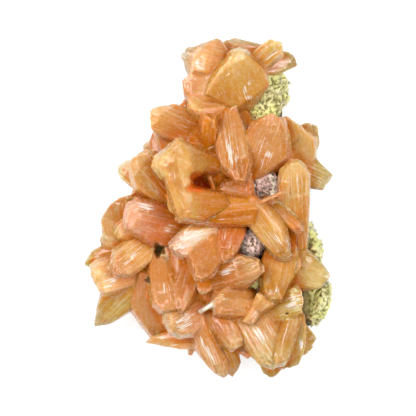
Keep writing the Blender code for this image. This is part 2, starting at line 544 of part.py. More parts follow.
def crystal_points(crystal):
    """The corners of the crystal: its outline, its crown and its keel."""
    root, along, across, length = plan_axes(crystal)
    start = relief_height(crystal.root[2])
    rise = relief_height(crystal.tip[2]) - start

    def point(s, c, height):
        place = root + s * along + c * across
        return Vector((place.x, place.y, start + rise * s / length + crystal.roll * c + height))

    corners = [Vector(corner) - root for corner in crystal.outline]
    places = [(corner.dot(along), corner.dot(across)) for corner in corners]
    first = min(s for s, _ in places)
    reach = max(s for s, _ in places) - first
    points = [point(s, c, 0.0) for s, c in places]
    crown = ((CROWN_INSET[0], 1.0), (1 - CROWN_INSET[1], 1.0))
    keel = ((KEEL_INSET[0], 1.0), (1 - KEEL_INSET[1], KEEL_AT_TIP))
    for stations, flat, height in ((crown, crystal.flat, crystal.lift), (keel, KEEL_FLAT, -crystal.drop)):
        for share, depth in stations:
            station = first + share * reach
            low, high = span_at(places, station)
            middle = (low + high) / 2
            half = flat * (high - low) / 2
            points.append(point(station, middle - half, height * depth))
            points.append(point(station, middle + half, height * depth))
    return points


def knot_points(knot):
    """The corners of a rough block, from an icosahedron pushed in and out."""
    shape = bmesh.new()
    bmesh.ops.create_icosphere(shape, subdivisions=1, radius=1.0)
    top = relief_height(knot.high)
    middle = (knot.low + top) / 2
    half = (top - knot.low) / 2
    points = []
    for vert in shape.verts:
        seed = Vector((*knot.centre, 0.0)) + vert.co * KNOT_NOISE_SCALE
        push = 1.0 + KNOT_ROUGHNESS * noise.noise(seed)
        points.append(Vector((
            knot.centre[0] + knot.radius * push * vert.co.x,
            knot.centre[1] + knot.radius * push * vert.co.y,
            middle + half * push * vert.co.z,
        )))
    shape.free()
    return points


def hull_of(points):
    """A bmesh of the convex hull of points in millimetres."""
    shape = bmesh.new()
    for point in points:
        shape.verts.new(point)
    made = bmesh.ops.convex_hull(shape, input=list(shape.verts))
    spare = {item for key in ("geom_interior", "geom_unused") for item in made[key]}
    spare = [item for item in spare if isinstance(item, bmesh.types.BMVert)]
    bmesh.ops.delete(shape, geom=spare, context="VERTS")
    bmesh.ops.recalc_face_normals(shape, faces=shape.faces)
    return shape


def grown(points, gap):
    """The corners of the hull of these points after each of its faces has moved out by at least the gap."""
    shape = hull_of(points)
    moved = []
    for vert in shape.verts:
        normals = [face.normal for face in vert.link_faces]
        outward = sum(normals, Vector()).normalized()
        least = min(outward.dot(normal) for normal in normals)
        moved.append(vert.co + outward * gap / max(least, 1 / MOST_GROWTH))
    shape.free()
    return moved


def object_from(shape, name, collection):
    """An object in metres from a bmesh in millimetres, which it frees."""
    bmesh.ops.scale(shape, vec=(MM, MM, MM), verts=shape.verts)
    mesh = bpy.data.meshes.new(name)
    shape.to_mesh(mesh)
    shape.free()
    piece = bpy.data.objects.new(name, mesh)
    collection.objects.link(piece)
    return piece


def group(name, parent):
    made = bpy.data.collections.new(name)
    parent.children.link(made)
    return made


def hide_helpers(collection):
    for helper in collection.all_objects:
        helper.hide_render = True
        helper.display_type = "WIRE"


def boolean(piece, operation, helpers):
    """The piece after a union with, or a cut by, all the objects of a collection, applied to its mesh."""
    change = piece.modifiers.new(operation.lower(), "BOOLEAN")
    change.operation = operation
    change.operand_type = "COLLECTION"
    change.collection = helpers
    change.solver = "EXACT"
    graph = bpy.context.evaluated_depsgraph_get()
    result = bpy.data.meshes.new_from_object(piece.evaluated_get(graph))
    piece.modifiers.clear()
    replaced = piece.data
    piece.data = result
    bpy.data.meshes.remove(replaced)


def keep_largest_body(piece):
    """Drops the chips that a cut leaves apart from the main body."""
    shape = bmesh.new()
    shape.from_mesh(piece.data)
    left = set(shape.verts)
    bodies = []
    while left:
        body = {left.pop()}
        edge_of_body = list(body)
        while edge_of_body:
            vert = edge_of_body.pop()
            for edge in vert.link_edges:
                other = edge.other_vert(vert)
                if other in left:
                    left.remove(other)
                    body.add(other)
                    edge_of_body.append(other)
        bodies.append(body)
    bodies.sort(key=len, reverse=True)
    for chip in bodies[1:]:
        bmesh.ops.delete(shape, geom=list(chip), context="VERTS")
    shape.to_mesh(piece.data)
    shape.free()


def overlaps(points, others, margin):
    """Whether two sets of points have boxes that come within the margin of each other."""
    return all(
        min(point[axis] for point in points) - margin < max(point[axis] for point in others)
        and max(point[axis] for point in points) + margin > min(point[axis] for point in others)
        for axis in range(3)
    )


def rim_radius(angle):
    """The distance from the middle of the rock to its rim at this angle."""
    offsets = [(x - ROCK_MIDDLE[0], y - ROCK_MIDDLE[1]) for x, y in ROCK_RIM]
    rim = sorted((math.atan2(y, x), math.hypot(x, y)) for x, y in offsets)
    rim = [(rim[-1][0] - math.tau, rim[-1][1]), *rim, (rim[0][0] + math.tau, rim[0][1])]
    for (a0, r0), (a1, r1) in zip(rim, rim[1:]):
        if a0 <= angle <= a1:
            return r0 + (r1 - r0) * (angle - a0) / (a1 - a0)
    return rim[0][1]


def roughen(shape, lumps, seed):
    """Moves each point in and out along its normal by noise of the given depths and widths."""
    shape.normal_update()
    moves = []
    for vert in shape.verts:
        depth = sum(deep * noise.noise(vert.co / wide + seed) for deep, wide in lumps)
        moves.append(vert.normal * depth)
    for vert, move in zip(shape.verts, moves):
        vert.co += move


def rock_shape(gap=0.0):
    """The slab of rock, before it is cut flat. With a gap it is larger all round by that much."""
    shape = bmesh.new()
    bmesh.ops.create_icosphere(shape, subdivisions=ROCK_SUBDIVISIONS, radius=1.0)
    for vert in shape.verts:
        angle = math.atan2(vert.co.y, vert.co.x)
        spread = math.hypot(vert.co.x, vert.co.y) ** ROCK_FILL
        radius = rim_radius(angle) * spread
        height = math.copysign(abs(vert.co.z) ** ROCK_FILL, vert.co.z)
        vert.co = (
            ROCK_MIDDLE[0] + radius * math.cos(angle),
            ROCK_MIDDLE[1] + radius * math.sin(angle),
            ROCK_WIDEST + (ROCK_TOP - ROCK_WIDEST) * height,
        )
    roughen(shape, ROCK_LUMPS, ROCK_SEED)
    shape.normal_update()
    moves = [vert.normal * gap for vert in shape.verts]
    for vert, move in zip(shape.verts, moves):
        vert.co += move
    return shape


def cut_flat(shape):
    """Cuts off what is below the surface that the specimen lies on, and closes the cut with a flat face."""
    everything = list(shape.verts) + list(shape.edges) + list(shape.faces)
    cut = bmesh.ops.bisect_plane(
        shape, geom=everything, plane_co=(0, 0, 0), plane_no=(0, 0, 1), clear_inner=True
    )
    rim = [item for item in cut["geom_cut"] if isinstance(item, bmesh.types.BMEdge)]
    bmesh.ops.edgeloop_fill(shape, edges=rim)
    bmesh.ops.recalc_face_normals(shape, faces=shape.faces)


def mat_shape(mat):
    """The lumpy mound of one crust of mordenite, before it is cut by the rock and the crystals."""
    shape = bmesh.new()
    bmesh.ops.create_icosphere(shape, subdivisions=mat.subdivisions, radius=1.0)
    turn = math.radians(mat.turn)
    for vert in shape.verts:
        x = vert.co.x * mat.radii[0]
        y = vert.co.y * mat.radii[1]
        vert.co = (
            mat.centre[0] + x * math.cos(turn) - y * math.sin(turn),
            mat.centre[1] + x * math.sin(turn) + y * math.cos(turn),
            mat.centre[2] + vert.co.z * mat.radii[2],
        )
    roughen(shape, MAT_LUMPS, MAT_SEED)
    return shape


def finish(piece, colour, roughness):
    material = bpy.data.materials.new(piece.name)
    material.use_nodes = True
    shader = material.node_tree.nodes["Principled BSDF"]
    shader.inputs["Base Color"].default_value = (*colour, 1.0)
    shader.inputs["Roughness"].default_value = roughness
    shader.inputs["Metallic"].default_value = 0.0
    piece.data.materials.clear()
    piece.data.materials.append(material)


def make_sheaf(sheaf, in_front, specimen, helpers, rock_cutter):
    """Joins the crystals of one sheaf, then cuts it clear of the rock and of the crystals in front of it."""
    hulls = [crystal_points(crystal) for crystal in sheaf.crystals]
    hulls += [knot_points(knot) for knot in sheaf.knots]
    piece = object_from(hull_of(hulls[0]), sheaf.name, specimen)
    others = group(sheaf.name + "_parts", helpers)
    for points in hulls[1:]:
        object_from(hull_of(points), sheaf.name + "_part", others)
    boolean(piece, "UNION", others)
    cutters = group(sheaf.name + "_cutters", helpers)
    cutters.objects.link(rock_cutter)
    everything = [point for points in hulls for point in points]
    for points in in_front:
        if overlaps(everything, points, GAP):
            object_from(hull_of(grown(points, GAP)), sheaf.name + "_cutter", cutters)
    boolean(piece, "DIFFERENCE", cutters)
    keep_largest_body(piece)
    finish(piece, sheaf.colour, STILBITE_ROUGHNESS)
    in_front.extend(hulls)


def make_mat(mat, in_front, specimen, helpers, rock_cutter):
    """Cuts one crust clear of the rock under it and of the crystals that stand in it."""
    shape = mat_shape(mat)
    corners = [vert.co.copy() for vert in shape.verts]
    if min(corner.z for corner in corners) < 0:
        cut_flat(shape)
    piece = object_from(shape, mat.name, specimen)
    cutters = group(mat.name + "_cutters", helpers)
    cutters.objects.link(rock_cutter)
    for points in in_front:
        if overlaps(corners, points, GAP):
            object_from(hull_of(grown(points, GAP)), mat.name + "_cutter", cutters)
    boolean(piece, "DIFFERENCE", cutters)
    keep_largest_body(piece)
    finish(piece, mat.colour, MORDENITE_ROUGHNESS)


def main():
    for leftover in list(bpy.data.objects):
        bpy.data.objects.remove(leftover)
    specimen = group("stilbite_with_mordenite", bpy.context.scene.collection)
    helpers = group("cutters", bpy.context.scene.collection)
    rock = rock_shape()
    cut_flat(rock)
    rock_piece = object_from(rock, "matrix_rock", specimen)
    finish(rock_piece, ROCK_COLOUR, ROCK_ROUGHNESS)
    rock_cutter = object_from(rock_shape(GAP), "rock_cutter", helpers)
    in_front = []
    for sheaf in SHEAVES:
        make_sheaf(sheaf, in_front, specimen, helpers, rock_cutter)
    for mat in MATS:
        make_mat(mat, in_front, specimen, helpers, rock_cutter)
    hide_helpers(helpers)


main()
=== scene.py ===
"""The looks of the stilbite with mordenite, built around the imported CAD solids.

Each sheaf of stilbite is one fused skin around its blades, with ledges, striations and ragged ends. The
crusts of mordenite are mats of fine needles on a core, and the rock is a rough slab that is cut off flat.
The sizes in the tables are in millimetres, and the meshes are in metres.
"""

import math
from collections import namedtuple

import bmesh
import bpy
import numpy as np
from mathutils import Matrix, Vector, noise


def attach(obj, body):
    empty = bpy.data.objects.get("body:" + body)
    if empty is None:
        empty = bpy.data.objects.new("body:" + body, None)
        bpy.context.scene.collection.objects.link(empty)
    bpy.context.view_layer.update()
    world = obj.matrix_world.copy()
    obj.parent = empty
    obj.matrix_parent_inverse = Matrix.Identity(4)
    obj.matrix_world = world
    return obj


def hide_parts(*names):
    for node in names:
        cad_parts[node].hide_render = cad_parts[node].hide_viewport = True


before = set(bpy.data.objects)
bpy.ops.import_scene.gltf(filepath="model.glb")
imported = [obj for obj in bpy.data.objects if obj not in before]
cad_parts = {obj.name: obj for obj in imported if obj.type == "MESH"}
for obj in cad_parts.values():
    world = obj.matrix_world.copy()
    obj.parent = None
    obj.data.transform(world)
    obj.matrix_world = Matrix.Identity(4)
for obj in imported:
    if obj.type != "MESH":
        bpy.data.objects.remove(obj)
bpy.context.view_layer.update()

MM = 0.001
SHOULDER = 20.0  # the heights in the tables are stretched by the relief from this height up
RELIEF = 1.3

# Colours as seen in soft white light, from 0 to 255.
# The ember red and the crevice amber are painted shade for hollows and crevices.
EMBER_SHADE = (150, 64, 0)
AMBER = (188, 110, 2)
CREVICE_SHADE_AMBER = (206, 122, 2)
BROWN = (182, 116, 64)
ORANGE_DARK = (206, 124, 14)
ORANGE = (220, 141, 46)
GOLDEN_DEEP = (196, 138, 56)
GOLDEN = (219, 162, 99)
GOLDEN_PALE = (230, 184, 134)
OLIVE_GOLD = (200, 160, 96)
OLIVE_PALE = (212, 184, 132)
SAND = (232, 200, 152)
CLAY = (206, 134, 82)
PEACH = (220, 156, 112)
PEACH_PALE = (238, 188, 148)
PINK_DEEP = (218, 130, 90)
PINK = (230, 166, 150)
PINK_PALE = (242, 202, 180)
CREAM = (244, 218, 190)
TAN = (214, 162, 120)
GREY = (204, 172, 142)
WHITE = (233, 225, 214)

# How a crystal looks: its colours at the root, in the middle and at the tip, and how strong its
# striations, its painted highlights of white pearly streaks and its painted white sparkle are, from 0 to 1.
Look = namedtuple("Look", "root body tip striae streaks sparkle")

# A crystal is the convex hull of its outline as seen from above, set on a plane from the root to the tip,
# with a crown above it, a keel below it and a foot down to its neighbours. The lift is the height of the
# crown above the plane, the drop is the depth of the keel below it and the roll is the slope across it.
Crystal = namedtuple("Crystal", "name root tip lift drop roll look outline")

# A knot is the block of small intergrown crystals that a sheaf springs from, down on the rock.
Knot = namedtuple("Knot", "centre radius low high")

Sheaf = namedtuple("Sheaf", "name slot knots crystals")
Mat = namedtuple("Mat", "name centre radii turn slot")

# The sheaves, from the ones in front to the ones behind.
SHEAVES = (
    Sheaf("stilbite_arch", "stilbite_golden", (Knot((4, 11), 5.5, 18, 33), Knot((-4, 1), 4.5, 20, 38)), (
        Crystal("arch_arm", (8, 13, 31), (-12, 18, 43), 1.6, 5.0, -0.15,
            Look(EMBER_SHADE, AMBER, GOLDEN, 0.4, 0.1, 0.2), ((-10, 23), (-5, 20.5), (0, 18.5), (5, 15.5), (6, 12),
            (-5, 12.6), (-11, 14), (-13, 18))),
        Crystal("arch_end", (-8, 15, 42.6), (-17.5, 15.5, 42), 1.2, 5.0, 0.0,
            Look(GOLDEN, GOLDEN_PALE, GOLDEN_PALE, 0.2, 0.05, 0.2), ((-10, 23), (-16.5, 17.5), (-18, 14.5),
            (-15, 11), (-9, 10), (-6, 13), (-7, 19))),
        Crystal("arch_limb", (-11, 17, 42.6), (-6.5, -3.4, 41), 1.6, 5.0, 0.0,
            Look(GOLDEN, GOLDEN, GOLDEN, 0.25, 0.05, 0.25), ((-15.5, 14), (-14, 10), (-12, 4), (-11, -1),
            (-10, -3.2), (-6, -3.4), (-4.6, -2), (-4.8, 2), (-6.9, 9), (-7.2, 16), (-11, 18))),
        Crystal("arch_foot", (5, 1, 37), (-7, 2, 42), 1.0, 4.5, 0.0,
            Look(AMBER, ORANGE_DARK, GOLDEN, 0.2, 0.0, 0.1), ((-9, 6), (-6.3, 7), (-3, 5.4), (4, 5), (8, 1),
            (-2, -4), (-8, -3))),
        # The back wall and floor of the arch's hollow are painted ember red, as painted shade.
        Crystal("arch_back_wall", (6, 6, 26), (2, 16, 33), 1.0, 5.0, 0.1,
            Look(EMBER_SHADE, EMBER_SHADE, EMBER_SHADE, 0.3, 0.0, 0.1), ((-0.6, 13), (0, 18), (4, 18), (10, 13), (11.4, 8.4),
            (7, 3.5), (2.6, 4), (0, 9))),
        Crystal("arch_floor", (1, 9, 24), (-8, 9, 26), 1.0, 4.0, 0.0,
            Look(EMBER_SHADE, EMBER_SHADE, EMBER_SHADE, 0.2, 0.0, 0.1), ((-9, 12), (-4, 15), (2, 14), (3, 5), (-3, 2),
            (-8, 6))),
        Crystal("arch_rod_left", (-1, 14, 36), (-5.5, 10.3, 38), 0.7, 0.9, 0.0,
            Look(AMBER, GOLDEN_DEEP, GOLDEN_PALE, 0.2, 0.1, 0.1), ((-6, 11), (-5.2, 9.6), (-0.2, 13.2),
            (-1.2, 14.8))),
        Crystal("arch_rod_right", (2.8, 4, 31.5), (-0.6, 13.8, 33.5), 0.7, 0.9, 0.0,
            Look(AMBER, BROWN, TAN, 0.2, 0.1, 0.1), ((-1.3, 13.4), (0.2, 13.8), (3.7, 4.3), (2, 3.6))),
    )),
    Sheaf("stilbite_crossbar", "stilbite_orange", (Knot((14, 1), 5.0, 20, 33),), (
        Crystal("crossbar", (17, -1, 34), (-9, -4.2, 36), 2.6, 4.0, 0.0,
            Look(ORANGE_DARK, ORANGE_DARK, CLAY, 0.5, 0.05, 0.2), ((-10, -3), (-3, 1), (5, 4.5), (10, 3.6),
            (15, 2.8), (18, -1), (15, -6), (5, -4.9), (-3, -5.2), (-9, -5))),
        Crystal("crossbar_blade", (13.5, 1, 34), (26.8, -17, 33), 1.7, 3.8, 0.12,
            Look(ORANGE_DARK, GOLDEN, GOLDEN_DEEP, 0.7, 0.2, 0.5), ((14, 3), (16.5, 3.2), (19, 2), (20.5, 0),
            (24, -4), (25.8, -6.5), (26.5, -11), (28, -14.5), (27, -16.7), (25.2, -17.3), (22.5, -15.6),
            (18, -11.5), (15.5, -8), (13, -4))),
        Crystal("pink_stub", (15, 3, 31), (14, 10.5, 35), 1.6, 3.6, 0.0,
            Look(CLAY, PINK_DEEP, CLAY, 0.4, 0.2, 0.3), ((11, 4), (12.5, 8.8), (14.7, 10.6), (16, 8),
            (16.3, 5), (15.5, 2.6), (12, 2.2))),
        Crystal("glassy_blade", (14, 5.5, 33), (4, 6.6, 34), 0.7, 1.4, 0.0,
            Look(CLAY, BROWN, BROWN, 0.4, 0.4, 0.3), ((4, 6.4), (6.5, 8.8), (10, 9.6), (13, 8.6), (13, 4.6),
            (9, 4.2), (6, 5.2))),
        Crystal("thin_rod", (14.2, 0.1, 34.6), (25.2, 5.2, 36.5), 0.5, 0.8, 0.0,
            Look(TAN, TAN, PEACH, 0.1, 0.1, 0.1), ((14, 0.7), (14.6, -0.5), (25.4, 4.7), (25, 5.8))),
    )),
    Sheaf("stilbite_centre_fan", "stilbite_pink", (Knot((1, -11), 6.5, 20, 32),), (
        Crystal("striated_sheaf", (4, -8, 29), (-12.5, -13.5, 35), 1.8, 4.2, -0.12,
            Look(PINK, PINK_PALE, PINK, 1.0, 0.5, 0.6), ((-13.5, -13.5), (-12, -12), (-9, -9.5), (-5.5, -5.5),
            (0, -4.5), (4, -5.5), (5, -10), (2, -13), (-5, -15), (-8, -16.6), (-10, -15.6))),
        Crystal("striated_sheaf_low", (2, -12, 29), (-8, -17, 30), 1.2, 4.0, 0.0,
            Look(PINK_DEEP, PINK, PINK, 0.8, 0.4, 0.5), ((-9, -16.6), (-6, -18.6), (0, -17), (3, -13),
            (-6, -12))),
        Crystal("pink_down_blade", (9, -4, 28), (6, -17.7, 36), 1.7, 4.2, 0.1,
            Look(PINK_DEEP, PINK_DEEP, CLAY, 0.7, 0.25, 0.4), ((3.5, -4.6), (13, -5.8), (13.2, -9),
            (11.5, -12.5), (9, -16), (6, -17.9), (4.9, -17), (4, -13))),
        Crystal("tan_block", (3, -12.5, 31), (-3, -24, 38), 1.3, 4.6, 0.1,
            Look(ORANGE_DARK, CLAY, CLAY, 0.25, 0.1, 0.5), ((-5, -12), (1, -11.6), (5, -14), (4.6, -18),
            (1, -22.6), (-2, -24.1), (-4, -23.2), (-5, -20.5), (-6.2, -17))),
    )),
    Sheaf("stilbite_upper_middle", "stilbite_peach", (Knot((10, 23), 6.5, 18, 31),
          Knot((20, 20), 7.0, 16, 30)), (
        Crystal("white_glint_blade", (8.5, 35, 27), (10.8, 10, 38), 2.0, 5.0, 0.0,
            Look(ORANGE_DARK, PEACH, CLAY, 0.9, 0.2, 0.5), ((5.5, 34.5), (3.4, 28), (3.2, 22), (3.6, 17),
            (5, 14.6), (8, 12.2), (9.5, 10.3), (12, 9.9), (13.2, 11.6), (14.2, 17), (13.4, 23), (12, 29),
            (10, 34.5))),
        Crystal("pink_sliver", (9.4, 34.8, 28), (2.8, 30.2, 28.5), 0.6, 3.6, 0.0,
            Look(ORANGE_DARK, ORANGE, ORANGE, 0.5, 0.2, 0.4), ((2.4, 30.8), (3.4, 29.7), (10.4, 34.4),
            (9, 36.4))),
        Crystal("golden_back_blade", (13, 35, 24), (14.5, 22, 27), 1.2, 4.0, 0.0,
            Look(GOLDEN_DEEP, GOLDEN_DEEP, GOLDEN, 0.5, 0.1, 0.1), ((9, 34.5), (14, 34.2), (15.4, 29),
            (16, 23), (11, 22))),
        Crystal("broad_blade", (15, 11, 26.5), (22.4, 32.8, 37), 1.8, 5.0, 0.1,
            Look(CLAY, PEACH, PEACH, 0.4, 0.1, 0.5), ((13.2, 22), (16, 28.6), (19, 31.2), (22, 32.9),
            (24.5, 31.6), (26, 29), (27.2, 25), (27.4, 20), (27, 17.5), (24, 15), (20, 11.7), (17, 9.6),
            (14.4, 9.4), (13, 14))),
    )),
    Sheaf("stilbite_crest", "stilbite_pink", (Knot((8, 44), 7.5, 12, 30), Knot((14, 50), 5.5, 14, 26),
          Knot((0, 37), 6.0, 12, 27)), (
        Crystal("crest_diamond", (15, 37, 26.5), (8.5, 54, 34), 2.2, 7.0, 0.14,
            Look(GOLDEN_DEEP, GOLDEN, GOLDEN_PALE, 0.3, 0.15, 1.0), ((0.4, 42), (3, 46.5), (8, 53),
            (10.5, 54.1), (13, 53.6), (19, 48.5), (21.6, 42.5), (16, 37.8), (10, 35.4), (3, 38.2),
            (-0.6, 39.6))),
        Crystal("crest_left_front", (7, 49, 27), (-4.5, 51.5, 32), 1.6, 6.5, 0.12,
            Look(ORANGE, PEACH, PEACH_PALE, 0.5, 0.2, 0.4), ((-5.6, 51), (-4.6, 48), (-1, 47), (5.5, 47.5),
            (6.5, 54), (4.9, 58.3), (3.5, 59.3), (1.5, 58.7), (-2, 55.6))),
        Crystal("crest_left_behind", (4, 50, 25), (-9.6, 53.4, 22.5), 1.0, 3.6, -0.1,
            Look(PINK_PALE, PINK_PALE, GREY, 0.6, 0.3, 0.4), ((-9.6, 53.4), (-8.2, 55.4), (-6.8, 56.6),
            (-2, 57.5), (2, 57), (3, 47), (-6.2, 47.2), (-7, 50))),
        Crystal("crest_back_blade", (18, 54, 22), (5, 58.6, 24), 1.3, 3.8, -0.1,
            Look(GREY, GREY, GREY, 0.8, 0.3, 0.3), ((4.6, 57), (7, 59.2), (9, 59.7), (12, 58.7), (16, 57.8),
            (19, 57.3), (20, 52), (14, 51), (6, 53))),
        Crystal("crest_orange_blade", (13, 48, 24), (24.6, 57.6, 32), 1.2, 3.6, 0.1,
            Look(ORANGE, GOLDEN, SAND, 0.9, 0.2, 0.3), ((12, 51.5), (20, 57.6), (21.5, 58.9), (26, 57.9),
            (26.3, 55.5), (24.5, 53), (19.5, 48.6), (15, 46))),
        Crystal("crest_right_blade", (17, 48.5, 22.5), (31.8, 50.6, 18.5), 1.4, 3.6, 0.0,
            Look(OLIVE_PALE, OLIVE_PALE, GREY, 0.3, 0.2, 0.6), ((17, 53), (26, 55.6), (28.5, 55.4), (30, 54),
            (31.8, 50.7), (31, 49.9), (25.5, 47.2), (21, 46.5), (17, 46))),
        Crystal("crest_lower_left", (5, 42.5, 29.5), (-8.8, 43, 28.5), 1.5, 4.2, 0.0,
            Look(ORANGE_DARK, PEACH, PEACH, 0.3, 0.1, 0.3), ((-8.9, 44.4), (-6, 46.8), (0, 48.1), (5, 48.5),
            (6, 38), (-6.4, 36.2), (-8.4, 40.6))),
        Crystal("crest_foot_blade", (7, 36, 26), (-5.6, 35.6, 30), 1.4, 6.5, 0.14,
            Look(ORANGE, PEACH, PEACH_PALE, 0.6, 0.1, 0.3), ((-6.4, 38), (-3, 40), (3, 40.6), (8, 36.4),
            (3.4, 31.2), (-1, 30.8), (-6, 34.6))),
        Crystal("crest_bridge", (1.4, 44.6, 26.5), (-1.6, 42, 26.5), 0.7, 5.5, 0.0,
            Look(PEACH, PEACH, PEACH, 0.3, 0.1, 0.3), ((-2, 42.2), (-0.5, 41.4), (3, 43.4), (2.4, 46.4),
            (-1, 45.2))),
    )),
    Sheaf("stilbite_upper_left", "stilbite_peach", (Knot((-4, 24), 6.5, 14, 29),
          Knot((-11, 18), 5.5, 10, 24)), (
        Crystal("upper_left_fan", (-2.6, 26, 24), (-19, 33, 32), 2.2, 4.6, 0.12,
            Look(ORANGE_DARK, PEACH, PEACH_PALE, 0.9, 0.15, 0.5), ((-20.3, 33.6), (-17.5, 35.4), (-12, 36.4),
            (-9, 35.2), (-5, 33.6), (-2.4, 31), (-2, 27.6), (-4, 24), (-9, 22.4), (-15, 25), (-19.7, 27.6),
            (-20.5, 31))),
        Crystal("upper_left_golden", (-8, 20, 23), (-18, 28, 28), 1.2, 4.2, 0.1,
            Look(GOLDEN, PEACH_PALE, GOLDEN_PALE, 0.6, 0.2, 0.3), ((-19.4, 27.8), (-15, 29), (-8, 26),
            (-6, 20), (-11, 16), (-15.3, 19))),
        Crystal("upper_left_pale", (-13, 18, 21), (-19.6, 26, 19.5), 1.0, 3.6, 0.0,
            Look(CREAM, PINK_PALE, PINK, 0.5, 0.3, 0.3), ((-19.3, 27.2), (-20.4, 24), (-20.2, 19),
            (-17, 16.6), (-12, 17), (-12, 24))),
        Crystal("upper_left_glassy", (-15, 18, 19.5), (-23, 21.5, 17.5), 0.9, 3.2, 0.0,
            Look(PINK_PALE, PINK_PALE, PINK_PALE, 0.4, 0.3, 0.5), ((-20, 24.7), (-22.6, 22.6), (-23.2, 20),
            (-22, 18.6), (-17, 16), (-14, 18), (-15, 22))),
        Crystal("upper_left_upright", (0.2, 20.6, 29), (0.4, 31.3, 36), 1.2, 9.0, 0.0,
            Look(ORANGE_DARK, ORANGE_DARK, ORANGE, 0.5, 0.1, 0.3), ((-2.1, 29.6), (-0.5, 31.3), (2.2, 30.6),
            (2.7, 26), (2.5, 22.3), (1, 20.3), (-1.4, 20.9), (-2.4, 24.5))),
        Crystal("upper_left_inner_face", (0, 22, 24), (-9, 19, 27), 1.2, 5.0, 0.0,
            Look(ORANGE_DARK, ORANGE_DARK, ORANGE, 0.5, 0.1, 0.2), ((-11, 22), (-6, 24), (3, 25), (4, 17),
            (-4, 16), (-10, 18))),
    )),
    Sheaf("stilbite_left_blade", "stilbite_orange", (Knot((-14, 4), 6.0, 12, 27),), (
        Crystal("left_big_blade", (-10, 2, 25), (-23, 18, 34), 2.2, 4.8, 0.0,
            Look(ORANGE, PEACH_PALE, PEACH_PALE, 0.8, 0.1, 0.4), ((-25.5, 17.6), (-21, 18.7), (-17, 17.6),
            (-12, 13), (-8.5, 4), (-11, -2), (-15, 0), (-19, 2.4), (-24, 6.4), (-25.2, 9), (-26.2, 13),
            (-27.1, 16.3))),
        Crystal("left_cream_blade", (-17, 3, 22), (-31, 14.6, 23), 1.2, 3.4, 0.15,
            Look(CREAM, CREAM, CREAM, 0.7, 0.2, 0.4), ((-31.8, 13), (-31.2, 15), (-28.6, 16.4), (-26, 17.7),
            (-19, 12), (-16, 4), (-20, 3), (-24, 6.2), (-30.4, 10))),
        Crystal("left_glassy_chip", (-19, 3, 20), (-26, 6.6, 18.5), 0.8, 2.6, 0.0,
            Look(PINK_PALE, CREAM, GREY, 0.4, 0.3, 0.5), ((-26.3, 7), (-25.6, 3.4), (-24.4, 1.7), (-18, 0.6),
            (-18, 5))),
        Crystal("left_pink_facets", (-15, 0, 22), (-23, 3.8, 24), 1.2, 3.8, 0.0,
            Look(PEACH, PINK, PINK_PALE, 0.4, 0.2, 0.5), ((-24, 4), (-22, 6.2), (-14, 5), (-13, -1),
            (-18, -1.5), (-23.4, 1.2))),
    )),
    Sheaf("stilbite_left_middle", "stilbite_pink", (Knot((-15, -7), 6.0, 14, 28),), (
        Crystal("left_pink_blade", (-9, -8, 26.5), (-28, -3, 35), 2.2, 4.6, 0.0,
            Look(PINK_DEEP, PINK_DEEP, PINK, 0.5, 0.15, 0.5), ((-27.4, -1), (-26.5, 0.9), (-23.5, 1.9),
            (-16, 0.6), (-8, -4), (-7.5, -10), (-12, -13), (-16, -13), (-20, -11.6), (-25, -8.6), (-27.2, -7),
            (-28.1, -4.5))),
        Crystal("left_pale_blade", (-17, -9, 23), (-30.5, -5, 26), 1.4, 3.8, 0.0,
            Look(CREAM, CREAM, PEACH_PALE, 0.4, 0.3, 0.4), ((-27.5, 0.2), (-29.6, -4), (-31.2, -6),
            (-31.3, -8.4), (-30.4, -10.2), (-28, -11.3), (-22, -12.4), (-16, -11), (-18, -2))),
    )),
    Sheaf("stilbite_left_spray", "stilbite_peach", (Knot((-23, -18), 6.5, 12, 27),), (
        Crystal("left_sparkling_blade", (-19, -13, 25), (-31, -22, 31), 1.7, 6.0, 0.12,
            Look(ORANGE_DARK, PEACH_PALE, PEACH, 0.6, 0.2, 0.7), ((-33, -19), (-31.6, -22.8), (-27, -22.8),
            (-20, -18.4), (-18.8, -16), (-18.6, -12.6), (-21, -9.6), (-27, -11.4), (-31.4, -15))),
        Crystal("left_broad_blade", (-21, -20, 22), (-39.5, -25, 25), 2.0, 5.0, 0.0,
            Look(ORANGE, PEACH, PEACH_PALE, 0.6, 0.2, 0.7), ((-38, -19), (-40.2, -21), (-40.6, -23.4),
            (-40.1, -26), (-38.5, -28.6), (-36, -29.8), (-33, -29.2), (-26, -27), (-21.6, -25), (-19.6, -22),
            (-19.4, -16.4), (-30, -15.6))),
        Crystal("left_upright", (-28, -15, 18), (-30, 3.8, 27), 1.8, 4.2, 0.0,
            Look(PEACH, PEACH_PALE, TAN, 0.4, 0.15, 0.4), ((-31, 3.7), (-28, 4.1), (-26.4, 3.8), (-25.2, 1.4),
            (-26, -6), (-27, -15), (-33, -16), (-36.2, -9), (-37.6, -4), (-36.9, -2), (-34.6, 1))),
        Crystal("left_small_grey", (-28, -14, 20), (-38, -10.4, 22), 1.0, 2.8, 0.0,
            Look(PINK_PALE, PINK_PALE, GREY, 0.4, 0.3, 0.4), ((-38.2, -11), (-36.6, -8.9), (-34.8, -8.6),
            (-28, -11), (-28, -16), (-35.8, -13.2))),
        Crystal("left_olive_tip", (-27, -16, 21), (-43.8, -19.4, 16.5), 1.5, 3.4, 0.0,
            Look(PEACH_PALE, TAN, OLIVE_PALE, 0.5, 0.25, 0.4), ((-43.9, -19.6), (-41.5, -15.4), (-38, -13.9),
            (-34, -12.4), (-26, -13), (-26, -19), (-36, -20.4), (-40, -21.2), (-43.2, -20.5))),
        Crystal("left_pointed_blade", (-23, -25, 23), (-39.8, -42.1, 14), 2.0, 4.2, 0.0,
            Look(ORANGE, OLIVE_GOLD, GREY, 0.8, 0.15, 0.4), ((-36, -29.6), (-38, -32.5), (-39.7, -36),
            (-40.4, -40), (-40.1, -42.3), (-34.5, -41.1), (-29, -37.2), (-27, -35), (-21, -26), (-25, -22),
            (-31, -25))),
    )),
    Sheaf("stilbite_lower_left", "stilbite_peach", (Knot((-13, -23), 7.5, 14, 29),
          Knot((-15, -33), 5.0, 12, 25)), (
